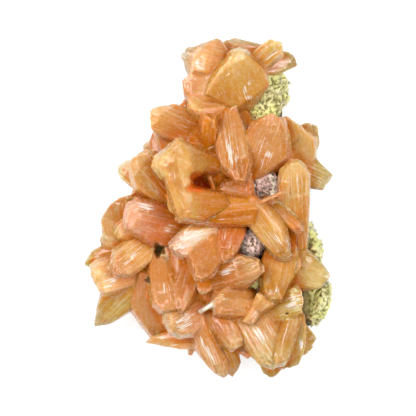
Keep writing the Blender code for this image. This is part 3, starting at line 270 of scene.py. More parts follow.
        Crystal("tan_down_blade", (-16, -16, 26), (-14, -35.5, 32), 1.8, 6.0, 0.0,
            Look(CLAY, PEACH, PEACH, 0.3, 0.1, 0.5), ((-19, -16.9), (-20.2, -20), (-20.2, -24), (-19.7, -28),
            (-18.9, -33), (-16, -35.4), (-10, -34.8), (-11.6, -29), (-13.2, -25), (-13.6, -20),
            (-14.6, -16.6))),
        Crystal("pink_fan", (-10, -14, 26), (-11, -27, 28), 1.2, 5.5, 0.0,
            Look(ORANGE_DARK, ORANGE_DARK, PEACH, 0.7, 0.15, 0.3), ((-15, -12.8), (-6, -13), (-5, -20),
            (-7, -27), (-13, -28), (-15, -20))),
        Crystal("slim_blade", (-4, -18, 27), (-9, -36, 32), 1.8, 6.0, 0.0,
            Look(CLAY, CLAY, CLAY, 0.5, 0.2, 0.3), ((-12.2, -28), (-11.6, -33), (-9, -36.1), (-6.4, -33),
            (-3.4, -26), (-1.6, -20), (-5, -17), (-9, -21))),
        Crystal("curved_outer_blade", (-19, -25, 24), (-17.5, -45, 17), 2.0, 4.6, 0.0,
            Look(CLAY, PEACH, CLAY, 0.3, 0.1, 0.4), ((-24, -24), (-27, -33), (-26.3, -36), (-24, -39.3),
            (-21, -44), (-19.8, -45.6), (-14, -42.7), (-14, -34), (-15, -25))),
        Crystal("low_orange_face", (-12, -30, 23), (-13, -41, 21), 1.2, 4.2, 0.0,
            Look(CLAY, CLAY, CLAY, 0.4, 0.1, 0.3), ((-18, -33), (-16, -41), (-10, -43), (-7, -36), (-8, -29),
            (-15, -28))),
    )),
    Sheaf("stilbite_bottom", "stilbite_orange", (Knot((-1, -38), 6.0, 12, 25),), (
        Crystal("blunt_pink_block", (-1.5, -34, 25), (-12.5, -40, 30), 2.0, 5.0, 0.0,
            Look(CLAY, PINK, TAN, 0.5, 0.3, 1.0), ((-14.2, -36), (-14, -39.5), (-12.5, -43), (-9, -44.2),
            (-5, -43.6), (-1.6, -41), (0.4, -37.6), (-0.6, -32.6), (-5, -31.4), (-10, -34.6))),
        Crystal("brown_pink_block", (3, -36, 25), (9, -48.6, 28), 2.0, 5.0, 0.0,
            Look(TAN, CLAY, TAN, 0.5, 0.25, 0.6), ((-0.4, -37.5), (1.8, -42.5), (4.8, -46), (7.5, -49),
            (10, -48.5), (12.2, -46), (10.4, -41), (7.4, -36.6), (3, -35))),
        Crystal("bottom_orange_blade", (-1.5, -40, 26), (5.6, -59.6, 20), 2.2, 4.6, 0.0,
            Look(ORANGE_DARK, PEACH, TAN, 0.9, 0.2, 0.4), ((-5, -44), (-3.7, -49.5), (-2.2, -52.5),
            (-0.2, -55.7), (2, -58.3), (6, -60), (7.2, -58.6), (7, -54), (4.2, -49), (1.4, -44), (-1, -39))),
        Crystal("bottom_golden_blade", (2.4, -44, 24), (8.7, -59.6, 17), 1.8, 4.2, 0.12,
            Look(AMBER, GOLDEN_DEEP, TAN, 0.6, 0.2, 0.4), ((4, -46), (8, -46), (9.2, -48.8), (10.7, -51.5),
            (11.7, -54.5), (10.4, -57.2), (8.7, -59.8), (6, -58), (1, -50), (1, -43))),
        Crystal("bottom_grey_tip", (6, -42, 24), (11.5, -48.8, 20.5), 1.0, 3.4, 0.0,
            Look(CLAY, GREY, GREY, 0.3, 0.3, 0.4), ((9, -48.6), (10.6, -49.3), (12.8, -47.6), (12, -43),
            (7, -40), (4, -44))),
        Crystal("bottom_tan_blade", (-2, -39, 22), (-4, -50, 19), 1.2, 3.8, 0.0,
            Look(ORANGE, TAN, TAN, 0.4, 0.1, 0.2), ((-8, -43), (-4.2, -50), (-1.2, -47), (0, -39),
            (-5, -39))),
        Crystal("bottom_thin_blade", (-3, -44, 21), (-22.6, -47.6, 16), 1.2, 2.6, 0.0,
            Look(PINK_PALE, PEACH_PALE, PEACH_PALE, 0.6, 0.3, 0.5), ((-22.8, -47.8), (-20, -45.3),
            (-15, -44.2), (-11, -42.4), (-3, -42), (-2, -48), (-4, -49.6), (-10, -49.9), (-14, -49),
            (-20, -48.2))),
        Crystal("bottom_tooth", (-4, -46, 19), (-6.3, -52.6, 17), 0.7, 2.2, 0.0,
            Look(PINK_PALE, PINK_PALE, TAN, 0.3, 0.2, 0.3), ((-7.5, -49.5), (-7, -52.2), (-5.8, -52.6),
            (-4.6, -49.6), (-2.4, -45.4), (-6.4, -45))),
    )),
    Sheaf("stilbite_middle", "stilbite_pink", (Knot((3, -27), 6.0, 16, 28),), (
        Crystal("middle_striated_blade", (-1, -27, 27.5), (18, -21, 36), 1.8, 4.2, 0.12,
            Look(PEACH, CLAY, TAN, 0.9, 0.2, 0.3), ((18.3, -22), (16.5, -18.4), (11, -16.7), (8, -17),
            (5, -19), (0, -22.6), (-3, -27), (0, -30), (7, -27.4), (12, -27.2), (16, -25.2))),
        Crystal("middle_inner_face", (3, -24, 26), (4, -16, 28), 1.2, 5.0, 0.0,
            Look(ORANGE_DARK, CLAY, PEACH, 0.5, 0.2, 0.3), ((-1, -16), (6, -15), (9.4, -19), (5, -26),
            (-2, -28), (-5, -22))),
        Crystal("middle_pink_face", (2, -32, 26), (3, -22, 28), 1.2, 4.6, 0.0,
            Look(ORANGE_DARK, ORANGE_DARK, CLAY, 0.5, 0.1, 0.3), ((-2, -23), (7, -23.4), (8, -28), (4, -32.6),
            (-1, -33.6), (-5, -28))),
        Crystal("middle_round_blade", (15, -34, 27), (2.3, -32, 33), 1.8, 4.6, 0.1,
            Look(ORANGE_DARK, PEACH, CLAY, 0.3, 0.15, 0.5), ((2.2, -33), (3.8, -29.4), (7, -27.6),
            (12, -27.8), (15.6, -29.8), (17.4, -34), (14.5, -37.4), (9, -37.3), (3.6, -36.6))),
        # A thin blade painted white, as a painted highlight.
        Crystal("glint_blade", (3.4, -32, 32.5), (-1.8, -35.6, 32), 0.5, 4.4, 0.0,
            Look(CREAM, WHITE, WHITE, 0.2, 1.0, 0.5), ((-2, -35), (-1.4, -36), (4.6, -32.4), (3.8, -31))),
        Crystal("bow_tie_upper", (16, -35.4, 29), (20.4, -30.6, 31), 1.1, 3.6, 0.0,
            Look(ORANGE, GOLDEN, GOLDEN, 0.6, 0.15, 0.4), ((17, -29.4), (21, -31), (22.6, -33.8), (18, -36.6),
            (15, -36.6))),
        Crystal("bow_tie_lower", (18, -34, 29), (13.6, -40, 30), 1.1, 4.2, 0.0,
            Look(ORANGE, PEACH, GOLDEN, 0.6, 0.15, 0.4), ((12.3, -39.4), (16, -40.2), (18.6, -36),
            (18, -33.6), (15, -34.4))),
    )),
    Sheaf("stilbite_lower_right", "stilbite_golden", (Knot((19, -38), 7.0, 12, 26),
          Knot((29, -39), 4.5, 12, 24)), (
        Crystal("big_striated_blade", (12, -36, 25), (22, -54.4, 29), 2.2, 4.6, 0.0,
            Look(ORANGE, TAN, OLIVE_PALE, 0.9, 0.3, 0.4), ((8, -38), (10, -42.4), (13, -47.2), (14.5, -49.7),
            (16, -52.2), (17.5, -54.3), (21, -54.8), (25.5, -54), (27, -50), (25, -43), (19, -36),
            (12, -34.6))),
        Crystal("curved_tan_blade", (31, -34.6, 26), (24.6, -54, 31), 1.5, 4.2, -0.1,
            Look(GOLDEN_DEEP, GOLDEN_DEEP, OLIVE_GOLD, 0.4, 0.05, 0.2), ((28.6, -35), (33, -34.4),
            (32.6, -40), (29.4, -48), (27, -53.4), (24, -54.2), (22.8, -52), (24.6, -44))),
        Crystal("dark_striated_fan", (19, -36, 24), (32.4, -31.6, 31), 1.5, 4.2, -0.1,
            Look(AMBER, OLIVE_GOLD, OLIVE_PALE, 1.0, 0.3, 0.3), ((25.5, -29.2), (30, -28.2), (32.6, -29.4),
            (33.2, -33), (32.4, -36.6), (27, -38.6), (19, -40), (17, -34))),
        Crystal("low_orange_root", (9, -36, 26), (10, -43, 26), 1.2, 5.0, 0.0,
            Look(ORANGE_DARK, ORANGE_DARK, CLAY, 0.6, 0.1, 0.3), ((3, -35), (15, -35), (17, -40), (14, -43.6),
            (7, -41), (2, -38))),
        # This face lies under the others, and its amber is painted shade.
        Crystal("dark_golden_root", (21, -41, 24), (24, -33, 26), 1.0, 5.0, 0.0,
            Look(AMBER, AMBER, AMBER, 0.4, 0.0, 0.2), ((14.5, -38), (18, -33), (23, -30.6), (28, -33),
            (29, -40), (24, -45), (18, -43))),
        Crystal("golden_low_blade", (31, -37, 26), (28, -56.4, 22), 1.6, 4.2, 0.14,
            Look(GOLDEN_DEEP, OLIVE_PALE, OLIVE_GOLD, 0.5, 0.1, 0.2), ((25, -50), (30, -37), (34, -38),
            (34.6, -44), (34, -50), (32.2, -54.7), (29, -56.3), (26, -56.8), (24.6, -54))),
        Crystal("bright_right_blade", (31, -41, 23), (38.4, -46.6, 20), 1.6, 4.0, 0.0,
            Look(OLIVE_PALE, OLIVE_GOLD, OLIVE_PALE, 0.6, 0.3, 0.6), ((31, -37), (33.4, -39.6), (35, -42.6),
            (38.5, -46), (37.2, -48.7), (35.6, -50.7), (33, -52.8), (29, -48), (29, -40))),
        Crystal("bottom_right_tip", (19, -48, 23), (22, -59.6, 17.5), 1.5, 4.6, 0.0,
            Look(OLIVE_GOLD, OLIVE_GOLD, OLIVE_GOLD, 0.4, 0.1, 0.3), ((16, -48), (18, -54.4), (19.5, -58.6),
            (21.5, -59.9), (24, -59.7), (25.6, -57.6), (28, -53), (25, -42), (17, -42))),
    )),
    Sheaf("stilbite_right_pair", "stilbite_golden", (Knot((27, -20), 5.5, 14, 27),), (
        Crystal("pair_down_blade", (26, -14, 26), (23.4, -31.2, 33), 1.9, 4.8, 0.08,
            Look(ORANGE, GOLDEN, GOLDEN_DEEP, 0.4, 0.1, 0.4), ((20, -14.4), (19, -18.5), (19, -22),
            (19.3, -26), (19.8, -29), (22, -31.3), (25.5, -31.2), (26.6, -28), (28.6, -22.6), (30.7, -20.4),
            (31.2, -16), (28, -12.6))),
        Crystal("pair_right_blade", (27, -21, 24), (42.6, -23.6, 26), 1.8, 4.2, 0.0,
            Look(GOLDEN, OLIVE_GOLD, OLIVE_PALE, 0.4, 0.1, 0.3), ((30, -15.6), (34.4, -15), (36, -18.3),
            (40, -20), (42, -22), (42.6, -24), (41.2, -26), (39, -28.2), (33, -28), (27.6, -27), (26, -19))),
    )),
    Sheaf("stilbite_right_tall", "stilbite_orange", (Knot((30, -7), 5.0, 12, 27),), (
        Crystal("tall_blade", (32, -17, 22.5), (30.4, 15, 34), 1.9, 5.0, 0.0,
            Look(ORANGE_DARK, GOLDEN, GOLDEN_PALE, 1.0, 0.1, 0.4), ((29, 15.2), (31.5, 15.2), (33.5, 13.2),
            (34.8, 10.5), (35.4, 0), (35, -6), (34.6, -15), (30.6, -18), (27, -1), (25.2, 0.4), (24.6, 5),
            (25.5, 10.5), (27, 13))),
        Crystal("tall_side_face", (28, -14, 24), (26, 0, 27), 1.2, 5.0, 0.0,
            Look(ORANGE_DARK, ORANGE_DARK, ORANGE, 0.5, 0.1, 0.2), ((24, -1), (27, 3), (32, -2), (32.6, -14),
            (29, -16.6), (25.6, -10))),
        Crystal("slant_blade", (20.4, 2.6, 29), (31.8, -7, 32), 1.2, 3.4, 0.0,
            Look(AMBER, GOLDEN_DEEP, ORANGE, 0.5, 0.1, 0.3), ((20, 4), (23, 3.8), (31, -4.2), (32, -7),
            (29.6, -7.7), (24, -3.6), (20, 0))),
    )),
    Sheaf("stilbite_upper_right", "stilbite_golden", (Knot((31, 18), 5.0, 12, 23),), (
        Crystal("upper_right_golden", (31, 16, 22), (29, 31.6, 30), 1.8, 4.6, 0.0,
            Look(GOLDEN, GOLDEN_PALE, GOLDEN, 0.3, 0.1, 0.5), ((25, 31.8), (27.6, 31.9), (30, 29.2),
            (32.5, 27.6), (36.6, 24.2), (37.6, 20), (37, 17.5), (34, 15), (30, 14), (27.6, 18), (26, 26))),
        Crystal("upper_right_notch_left", (34, 20, 20), (34.6, 30.2, 24), 1.2, 3.4, 0.0,
            Look(OLIVE_GOLD, OLIVE_GOLD, OLIVE_GOLD, 0.6, 0.3, 0.4), ((32, 27), (34.4, 30.2), (36.2, 29.7),
            (37.4, 26), (37, 19), (32, 19))),
        Crystal("upper_right_notch_right", (35, 19, 20), (37.6, 29.8, 22), 1.2, 3.4, 0.0,
            Look(SAND, OLIVE_PALE, OLIVE_GOLD, 0.6, 0.3, 0.4), ((35.6, 25), (37, 30), (38.6, 28.5),
            (38.7, 26.4), (39.4, 23), (38.6, 20.8), (37, 17), (33, 18))),
        Crystal("upper_right_striated", (32, 15, 22), (43.6, 10, 17.5), 1.4, 3.6, 0.0,
            Look(GOLDEN, OLIVE_PALE, OLIVE_PALE, 0.9, 0.3, 0.4), ((33, 19), (38.6, 17.2), (41, 14.2),
            (44, 11.6), (43.6, 10.2), (41, 6.9), (40, 6.3), (37, 7.6), (33, 8.6), (30, 12))),
        Crystal("upper_right_gap_face", (30, 13, 24), (27.4, 25, 26), 1.0, 4.4, 0.0,
            Look(AMBER, ORANGE, GOLDEN, 0.4, 0.1, 0.2), ((26, 14), (26.4, 26), (29, 27), (31, 14), (29, 10))),
    )),
)
# The knots lie deep between the blades and take the amber of painted crevice shade.
KNOT_LOOK = Look(CREVICE_SHADE_AMBER, CREVICE_SHADE_AMBER, CREVICE_SHADE_AMBER, 0.3, 0.0, 0.2)

# Crusts of mordenite on the rock.
MATS = (
    Mat("mordenite_upper_right", (20.4, 38.6, 17.5), (8.0, 11.2, 7.5), -20, "mordenite_cream"),
    Mat("mordenite_centre_right", (20.5, 7, 27), (5.2, 6.0, 4.6), 10, "mordenite_pink"),
    Mat("mordenite_centre", (15, -12.5, 29), (5.0, 5.4, 4.6), 0, "mordenite_pink"),
    Mat("mordenite_right_edge", (37, -13, 12), (3.8, 9.0, 8.0), 18, "mordenite_cream"),
    Mat("mordenite_lower_right", (39, -33, 11), (5.0, 9.0, 8.5), -18, "mordenite_cream"),
    Mat("mordenite_lower_middle", (15.5, -25, 26), (4.6, 3.8, 4.0), 20, "mordenite_olive"),
)

# The rock: its rim as seen from above, round the middle of the slab, and its height.
ROCK_MIDDLE = (6, -2)
ROCK_RIM = (
    (32.5, 10), (30, 18), (28.5, 26), (27, 33), (25.5, 38), (22.5, 43), (18.5, 47.2), (12, 49.5), (4, 48),
    (-3, 42), (-5, 34), (-9, 28), (-14, 20), (-19, 12), (-22, 4), (-26, -4), (-29, -13), (-28, -23),
    (-24, -31), (-17, -38), (-8, -44), (2, -47), (12, -48), (22, -49), (30, -46), (36, -41.5), (41, -35),
    (42.2, -29), (40, -24), (38, -18), (36, -12), (34, -6),
)
ROCK_TOP = 25.0
ROCK_WIDEST = 5.0  # height of the widest ring
ROCK_FILL = 0.8  # under 1 makes the top flatter and the sides steeper
ROCK_SUBDIVISIONS = 6
ROCK_LUMPS = ((3.6, 16.0), (2.2, 8.0))  # depth and width of the lumps on it
ROCK_RIDGES = ((1.0, 3.2), (0.45, 1.3))  # depth and width of the sharp ridges on it
ROCK_RIDGE_MIDDLE = 0.7  # share of a ridge's depth that lies under the even surface
ROCK_SEED = (3.1, 7.7, 1.9)
# Painted shade on the rock deep between the crystals:
ROCK_DIM = 0.85  # how much darker the rock is deep between the crystals
ROCK_DIM_DROP = (3.0, 10.0)  # below the crystals, where that starts and ends
ROCK_DIM_TINT = (1.0, 1.1, 1.3, 0.0)  # powers of the shade in red, green, blue and alpha

# Painted highlights, where faces flash white along their striations: the middle in plan, half the length and
# half the width, the direction in degrees and the strength.
Flash = namedtuple("Flash", "x y length width turn strength")
PAINTED_FLASHES = [Flash(*row) for row in (
    (-6, -10, 10, 4, 33, 1.0), (7.3, 20.5, 6.5, 1.3, 97, 1.0), (9.8, 17.5, 5, 0.9, 100, 0.8),
    (-22, 0.5, 4.5, 1.6, -15, 1.0), (-13, -7, 4, 2, 30, 0.7), (18, -45, 8, 2.6, -58, 0.8),
    (0, -50, 7, 1.6, -64, 0.9), (6, -21.5, 6, 2.6, 32, 0.8), (-3.5, 49.5, 4, 2, -50, 0.8),
    (8, 56, 7, 1.5, -15, 0.6), (23, 54, 6, 1.5, 42, 0.7), (26, 50.5, 4, 1.5, 15, 0.7),
    (30, -32, 4, 3, 20, 0.8), (33.5, -47.5, 2.5, 1.8, 50, 0.95), (6, -10, 5, 1.5, 60, 0.5),
    (27.8, 7, 6, 1.5, 88, 0.6), (31, 9, 6, 1.2, 88, 0.5), (13.5, 42, 4, 1.0, 62, 0.8),
    (14, 38.5, 2, 1.0, 20, 0.8), (18.5, 15.5, 5, 2, 48, 0.7), (19, 23, 6, 4, 70, 0.45),
    (21, 18.5, 2, 1.5, 30, 0.9), (23, -10.5, 7, 1.6, -52, 0.65), (-26.5, -16.5, 6, 3, 50, 0.6),
    (-34, -25.5, 5, 3, 20, 0.6), (-7.5, 28, 5, 2, 60, 0.55), (-19, 6.5, 5, 2, -50, 0.5),
    (-8, -39, 5, 3.5, 60, 0.8), (11, -36, 4, 2, 20, 0.45), (-1, -20, 3, 2, 20, 0.4),
    (-14.5, -28.5, 5, 1.3, -72, 0.75), (23.5, -28.5, 2, 2, -80, 0.5), (-14.5, -45.5, 5, 0.9, 5, 0.65),
    (39, 10.5, 4, 2, -40, 0.5), (39, -23.5, 3, 2, -20, 0.35), (-8, 53, 3, 1.5, -60, 0.6),
    (-17, 22, 3, 2, -50, 0.5), (-38.5, -17, 3, 2, 40, 0.4),
)]

# The pits between the crystals, sunk by the depth and painted in their own colours: the rock at their bottom
# and painted shade.
Pit = namedtuple("Pit", "x y radii depth colour")
PITS = (
    Pit(-17.0, -14.8, (1.8, 2.2), 4.0, (150, 108, 54)),
    Pit(-21.0, -25.3, (1.0, 1.3), 2.5, (140, 98, 40)),
    Pit(27.5, -36.8, (0.7, 0.4), 1.0, (90, 50, 20)),
    Pit(-3.6, 8.4, (3.4, 3.8), 0.8, (224, 104, 8)),
)

# Places without small blades, where the rock or a deep hollow shows: x, y and radius.
HOLES = (
    (-17, -14.5, 3.2), (-21, -25.3, 1.8), (-3, 8.5, 5.0), (9, -12, 3.0), (34, -35, 5.0), (20.5, 6, 5.5),
    (-5, -6, 3.0), (-15, 1, 4.0), (40, -17, 4.0), (37, -29.5, 4.0), (33, -18, 2.5), (-7, 28, 3.0),
    (30, 27, 3.0), (2, 24, 2.0), (-14, -6.5, 2.0),
)

# The form of a crystal.
ROOT_STRETCH = 1.2  # of a blade at its root end, where other blades lie over it
ROOT_SHARE = 0.4
RIM_UP = 0.3  # of the outline's upper edge above its plane, as a share of the lift
RIM_DOWN = 0.3  # of its lower edge below the plane, as a share of the drop
RIM_DOWN_SHRINK = 0.94
CROWN_IN = (0.05, 0.09)  # from the root end and from the tip, as shares of the length
CROWN_FLAT = 0.88  # width of the crown, as a share of the outline's
CROWN_SIDE = 0.5  # height of the crown's sides, as a share of its ridge's
RIDGE_SHARES = (0.08, 0.5, 0.84)  # along the blade
RIDGE_ASIDE = 0.55  # the most that the ridge is off the middle, as a share of half the width
RIDGE_SEED = 3.0
FLANK_OUT = 2.1  # of a blade's foot beyond its outline, where other blades stand beside it
FLANK_DOWN = 3.6
BACK_OUT = 4.0  # of a blade's buried root beyond its outline
BACK_DOWN = 6.0
BACK_AT = 0.1  # where its width is taken, as a share of the length
BACK_INSET = 0.3  # of its two corners, as a share of that width
KEEL_INSET = (0.1, 0.35)  # from the root end and from the tip, as shares of the length
KEEL_FLAT = 0.4  # width of the keel, as a share of the outline's
KEEL_AT_TIP = 0.55  # depth of the keel's tip end, as a share of the drop
KNOT_ROUGHNESS = 0.18
KNOT_NOISE_SCALE = 3.7
CRYSTAL_SEED_STEP = 0.37
KNOT_SEED = 7.0
TINY = 1e-6  # under which a width, a lean or a count is taken for none

# The small blades that fill the gaps between the large ones.
FILLER_SEED = 7
FILLER_SEED_STEP = 0.11
FILLER_X = (-40, 42)
FILLER_Y = (-55, 55)
FILLER_SPACING = 4.0
FILLER_SCATTER = 0.4  # as a share of the spacing
FILLER_LENGTH = (9.0, 15.0)
FILLER_WIDTH = (4.0, 7.0)
FILLER_THICKNESS = (1.6, 2.8)
FILLER_TURN = 0.7  # either way from the nearest large blade, in radians
FILLER_TILT = (0.1, 0.6)  # above the horizontal, in radians
FILLER_LOWEST = 14.0
FILLER_INSET = 6.5  # from the rock's rim
FILLER_FROM_MAT = 2.5  # of its root
FILLER_AT_MAT = 1.0  # of its end
# Its sections: share of the length, of the width and of the thickness.
FILLER_SECTIONS = ((0.0, 0.7, 1.0), (0.35, 1.0, 1.0), (0.8, 1.0, 0.8), (1.0, 0.35, 0.3))
# The streaks and sparkle are painted highlights.
FILLER_FEEL = (0.5, 0.1, 0.3)  # how strong its striations, streaks and sparkle are
FILL_CORNER = (-48.0, -64.0)  # of the coarse map of how high the crystals stand
FILL_SIZE = (64, 86)  # of that map, in cells
FILL_CELL = 1.5
FILL_REACH = 3  # cells on each side over which that height is averaged
FILL_BELOW = 6.5  # of the small blades' tips below it

# The skin and the relief on it.
SKIN_VOXEL = 0.415  # size of the cells that fuse a sheaf's blades into one skin
SKIN_SMOOTHINGS = 1
EXTRA_SMOOTHINGS = {"stilbite_arch": 4}  # for a sheaf whose blades flow into each other
WAVE_WIDTH = 5.0
WAVE_DEPTH = 0.12
WAVE_SEED = 3.0
GRAIN_WIDTH = 1.1
GRAIN_DEPTH = 0.02
BEND_LENGTH = 5.0  # of the bends in the striations
BEND_DEPTH = 0.35
PLATE_WIDTH = 3.0  # of the broad ledges along a blade
PLATE_DEPTH = 0.2
PLATE_EDGE = 0.12  # of the step between two of them, as a share of the width
PLATE_END = (0.72, 0.26)  # where they end along the blade, and how far that varies, as shares
PLATE_END_EDGE = 0.03
PLATE_END_SEED = 2.0
LEDGE_DEPTH = 0.3  # of the step down there
LEDGE_LEAST = 0.4  # how much of it a blade without striations has
RIB_WIDTH = 0.95
RIB_DEPTH = 0.13
RIB_EDGE = 0.4
RIB_SLANT = 0.6
RIB_SEED = 5.0
END_WIDTH = 1.1  # of the teeth of a ragged end
END_DEPTH = 0.45
END_EDGE = 0.25
END_SLANT = 0.8
END_SEED = 9.0
END_LEAST = 0.3  # how much of them a blade without striations has
PIT_BUMPS = ((0.22, 3), (0.14, 5))  # depth and number of the bumps round a pit's rim
PIT_SLOPE = (0.3, 1.3)  # where a pit's side starts and ends, as shares of the way to its rim
# Where a pit's painted shade fades out, as shares of the way to its rim.
PIT_SHADE_REACH = (0.6, 1.2)

# The colours on the skin, with painted light and shade in them.
TONE = (0.86, 0.9, 0.6)  # what the white gloss on top adds to a blade is left out below it
STOPS = (0.15, 0.5, 0.66, 0.92)  # of the root's, the body's (twice) and the tip's colour along a blade
BLEND = 0.45  # over which the colours of two grown-together blades run into each other
# Painted shade on the steep sides of the blades, more where they sink below the crystals around them, and in
# the grooves:
SIDE_SHADE_TINT = (1.0, 0.8, 0.22)  # what the sides of a blade keep of the colour of its broad face
SIDE_SHADE_STRENGTH = 0.75
SIDE_STEEP = 0.75  # upward part of the normal under which a face starts to count as a side
SIDE_RANGE = 0.5
SIDE_OPEN = 0.2  # share of a side's tint that it has where it stands free
SIDE_DROP = (-1.5, 2.0)  # below the crystals around it, where it starts to have the rest, and has it all
# Painted light and shade on the facets: each facet is made lighter or darker at random, by its direction.
FACET_LIT = (1.12, 1.2, 1.5)  # what the palest facets make of their blade's colour
FACET_SHADED = 0.8
FACET_SHADE_TINT = (0.88, 0.74, 0.4)
FACET_STEPS = 3.0  # of a facet's direction, which give it its number
FACET_NUMBER = (1.0, 7.0, 31.0)
EDGE_SMOOTHINGS = 2  # that tell ridges and grooves from open faces
EDGE_HEIGHT = (0.02, 0.09)
# Painted highlight along the ridges and painted shade in the grooves:
RIDGE_HIGHLIGHT = 0.35
GROOVE_SHADE = 0.4
MILKY = 0.7  # share of the glow from inside that a pale, milky crystal lacks
# The amber of walls and crevices is painted shade.
PALE_KEEPS = 0.8  # how much less a pale, milky crystal takes on the amber of walls and crevices
PALE_SHARE = (0.2, 0.5)  # share of blue to red at which a colour starts to count as pale, and does fully
OPEN_TONE = (-0.04, 0.08, 0.4)  # what the light through the thin outer blades adds to their colour
TINT_MOST = 0.86
MAP_CELL = 0.75  # of the height map that tells crevices from open faces
MAP_BLURS = 10
MAP_MARGIN = 4
MAP_CLOSED = (0.62, 0.9)  # shares of filled cells around it between which a place counts as inside
# Painted shade in the crevices: deep places among the crystals run to a deep amber and lose part of their
# painted flashes.
CREVICE_SHADE_DROP = (-0.3, 4.0)  # below the crystals around it, where a crevice's colour starts and is full
CREVICE_SHADE_TINT = 0.85
CREVICE_SHADE_FLASH = 0.7  # share of a flash that a crevice lacks
LAY_SEED = 31.7  # keeps the noise of one blade from running on in the next

# The ramps of the stilbite's shader: the noise from and to, and the share from and to.
CLOUD_DEEP = (0.55, 0.3, 0.0, 0.55)
MOTTLE_DEEP = (0.5, 0.3, 0.0, 0.5)
MOTTLE_PALE = (0.55, 0.75, 0.0, 0.5)
MOTTLE_ROUGH = (0.35, 0.65, 0.16, 0.3)
# The light and dark lines along the striations are painted sheen and painted shade.
LIGHT_LINES = (0.52, 0.66)
DARK_LINES = (0.46, 0.34)
# The streaks and specks are painted white highlights and glints.
STREAK_HIGHLIGHTS = (0.75, 0.83)
SPECK_GLINTS = (0.62, 0.7)
# How strong they are.
WHITE_IN_PALE = 0.36
DEEP_TINT = (0.92, 0.68, 0.3, 1.0)
LIGHT_LINE = 0.9
DARK_LINE = 0.95
STREAK_MORE = 0.4  # how much a strong streak adds to its noise
STREAK_HIGHLIGHT_WHITE = 0.85
STREAK_DULL = 0.8  # share of the glow that a streak lacks
SPECK_GLINT_WHITE = 0.65
# How long and narrow the noise is: per millimetre along, across and out of the blade.
LINE_SCALE = (0.1, 1.5, 1.5)
STREAK_SCALE = (0.16, 2.2, 2.2)
SPECK_SCALE = (1.1, 2.0, 2.0)
# How deep the bumps are, in metres.
LINE_BUMP = 0.00022
MOTTLE_BUMP = 0.0001
ROCK_BUMP = 0.0004
CORE_BUMP = 0.0003

# The ramps of the shaders of the rock and of the crusts' cores.
MOSS_PATCHES = (0.42, 0.6)
GREY_GRIT = (0.5, 0.66)
DARK_GRIT = (0.44, 0.34)
CREAM_GRIT = (0.66, 0.72)
OLIVE_GRIT = (0.55, 0.68, 0.0, 0.7)

ROCK_BROWN = (172, 128, 80)
ROCK_DARK = (104, 70, 34)
ROCK_GREY = (204, 178, 144)
MOSS = (184, 172, 96)
FUZZ_CREAM = (255, 250, 190)
FUZZ_LIME = (244, 244, 160)
FUZZ_WHITE = (255, 252, 235)
FUZZ_PINK = (255, 222, 214)
FUZZ_GREY = (225, 200, 188)
FUZZ_OLIVE = (196, 186, 104)
FUZZ_BROWN = (160, 134, 84)

# The crusts of mordenite.
MAT_COLOURS = {
    "mordenite_cream": (FUZZ_CREAM, FUZZ_LIME, FUZZ_WHITE, FUZZ_OLIVE),
    "mordenite_pink": (FUZZ_PINK, FUZZ_WHITE, FUZZ_GREY, FUZZ_BROWN),
    "mordenite_olive": (FUZZ_OLIVE, FUZZ_LIME, MOSS, FUZZ_BROWN),
}
COLOUR_SHARES = (0.4, 0.25, 0.2, 0.15)
MAT_SEED = 40
MAT_LUMPS = 0.28  # of the mound's radius
MAT_LUMP_SCALE = 1.3
TUFT_SPACING = 2.4
TUFT_DEPTH = 1.2  # of a tuft's middle below the outer form of its crust
TUFT_SCATTER = 0.06  # as a share of the radius
TUFT_JITTER = 0.5
TUFT_LOWEST = 1.5
TUFT_SIZES = (0.6, 1.15)
TUFT_OWN_COLOUR = 0.8  # share of the needles that have the colour of their tuft
NEEDLE_LENGTH = {
    "mordenite_cream": (0.7, 1.5), "mordenite_pink": (1.2, 3.2), "mordenite_olive": (0.8, 1.8),
}
NEEDLE_RADIUS = 0.1
NEEDLE_RADII = (0.7, 1.3)  # how far the radius varies, as shares
NEEDLE_TINTS = (0.8, 1.1)
NEEDLE_LOWEST = 0.2
NEEDLE_UPRIGHT = 0.9  # upward part of its direction over which a needle counts as upright
NEEDLES_PER_TUFT = 40
CORE_DEPTH = 1.0
CORE_SUBDIVISIONS = 6
CORE_LOWEST = 0.1
CORE_LUMPS = (1.2, 4.0)  # depth and width
CORE_GRAIN = (0.9, 1.15)
CORE_FINE = (0.4, 0.45)  # depth, and width as a share of the grain's
CORE_FINE_LIGHT = 0.7
CORE_LIGHT = (-0.45, 0.1)
CORE_PATCH_WIDTH = 5.0
CORE_PATCH_SEED = 9.0
CORE_PATCH = (-0.1, 0.25)
# Painted shade in the dents of the core between the tufts:
CORE_PIT_SHADE = 0.4  # brightness of the pits between the tufts
# Painted shade in the hollows of the crusts: x, y and radius.
MAT_SHADED_HOLLOWS = ((34.5, -33, 2.2), (35, -36.5, 1.6), (24, 38, 1.2), (10.5, -12, 2.5), (17.5, 3.0, 1.5))

# The camera, the floor and the lights, in metres and watts.
LENS = 250.0
SENSOR = 36.0
FRAME_WIDTH = 0.1456  # of the photo at the middle of the specimen
MIDDLE_HEIGHT = 0.028
FAR = 10.0
FLOOR_SIZE = 3.0
FLOOR_GREY = 0.45
FLOOR_GLOW = 0.72
WORLD_STRENGTH = 0.15
AIM = (0.0, 0.0, 0.025)
# The broad lights: name, place, size and power.
BROAD_LIGHTS = (("soft_left", (-0.5, 0.2, 0.7), 0.4, 4.4), ("soft_right", (0.5, 0.1, 0.7), 0.4, 2.0))
# The lights that the faces mirror: the direction in plan, the angle from straight above, and the power.
SOFT_LIGHTS = (
    (125, 13, 0.9), (200, 24, 0.8), (300, 17, 0.8), (30, 27, 0.8), (80, 36, 0.9), (255, 38, 1.0),
    (350, 42, 0.9),
)
SOFT_DISTANCE = 0.95
SOFT_SIZE = 0.13
WHITE_LIGHT = (1.0, 1.0, 1.0, 1.0)


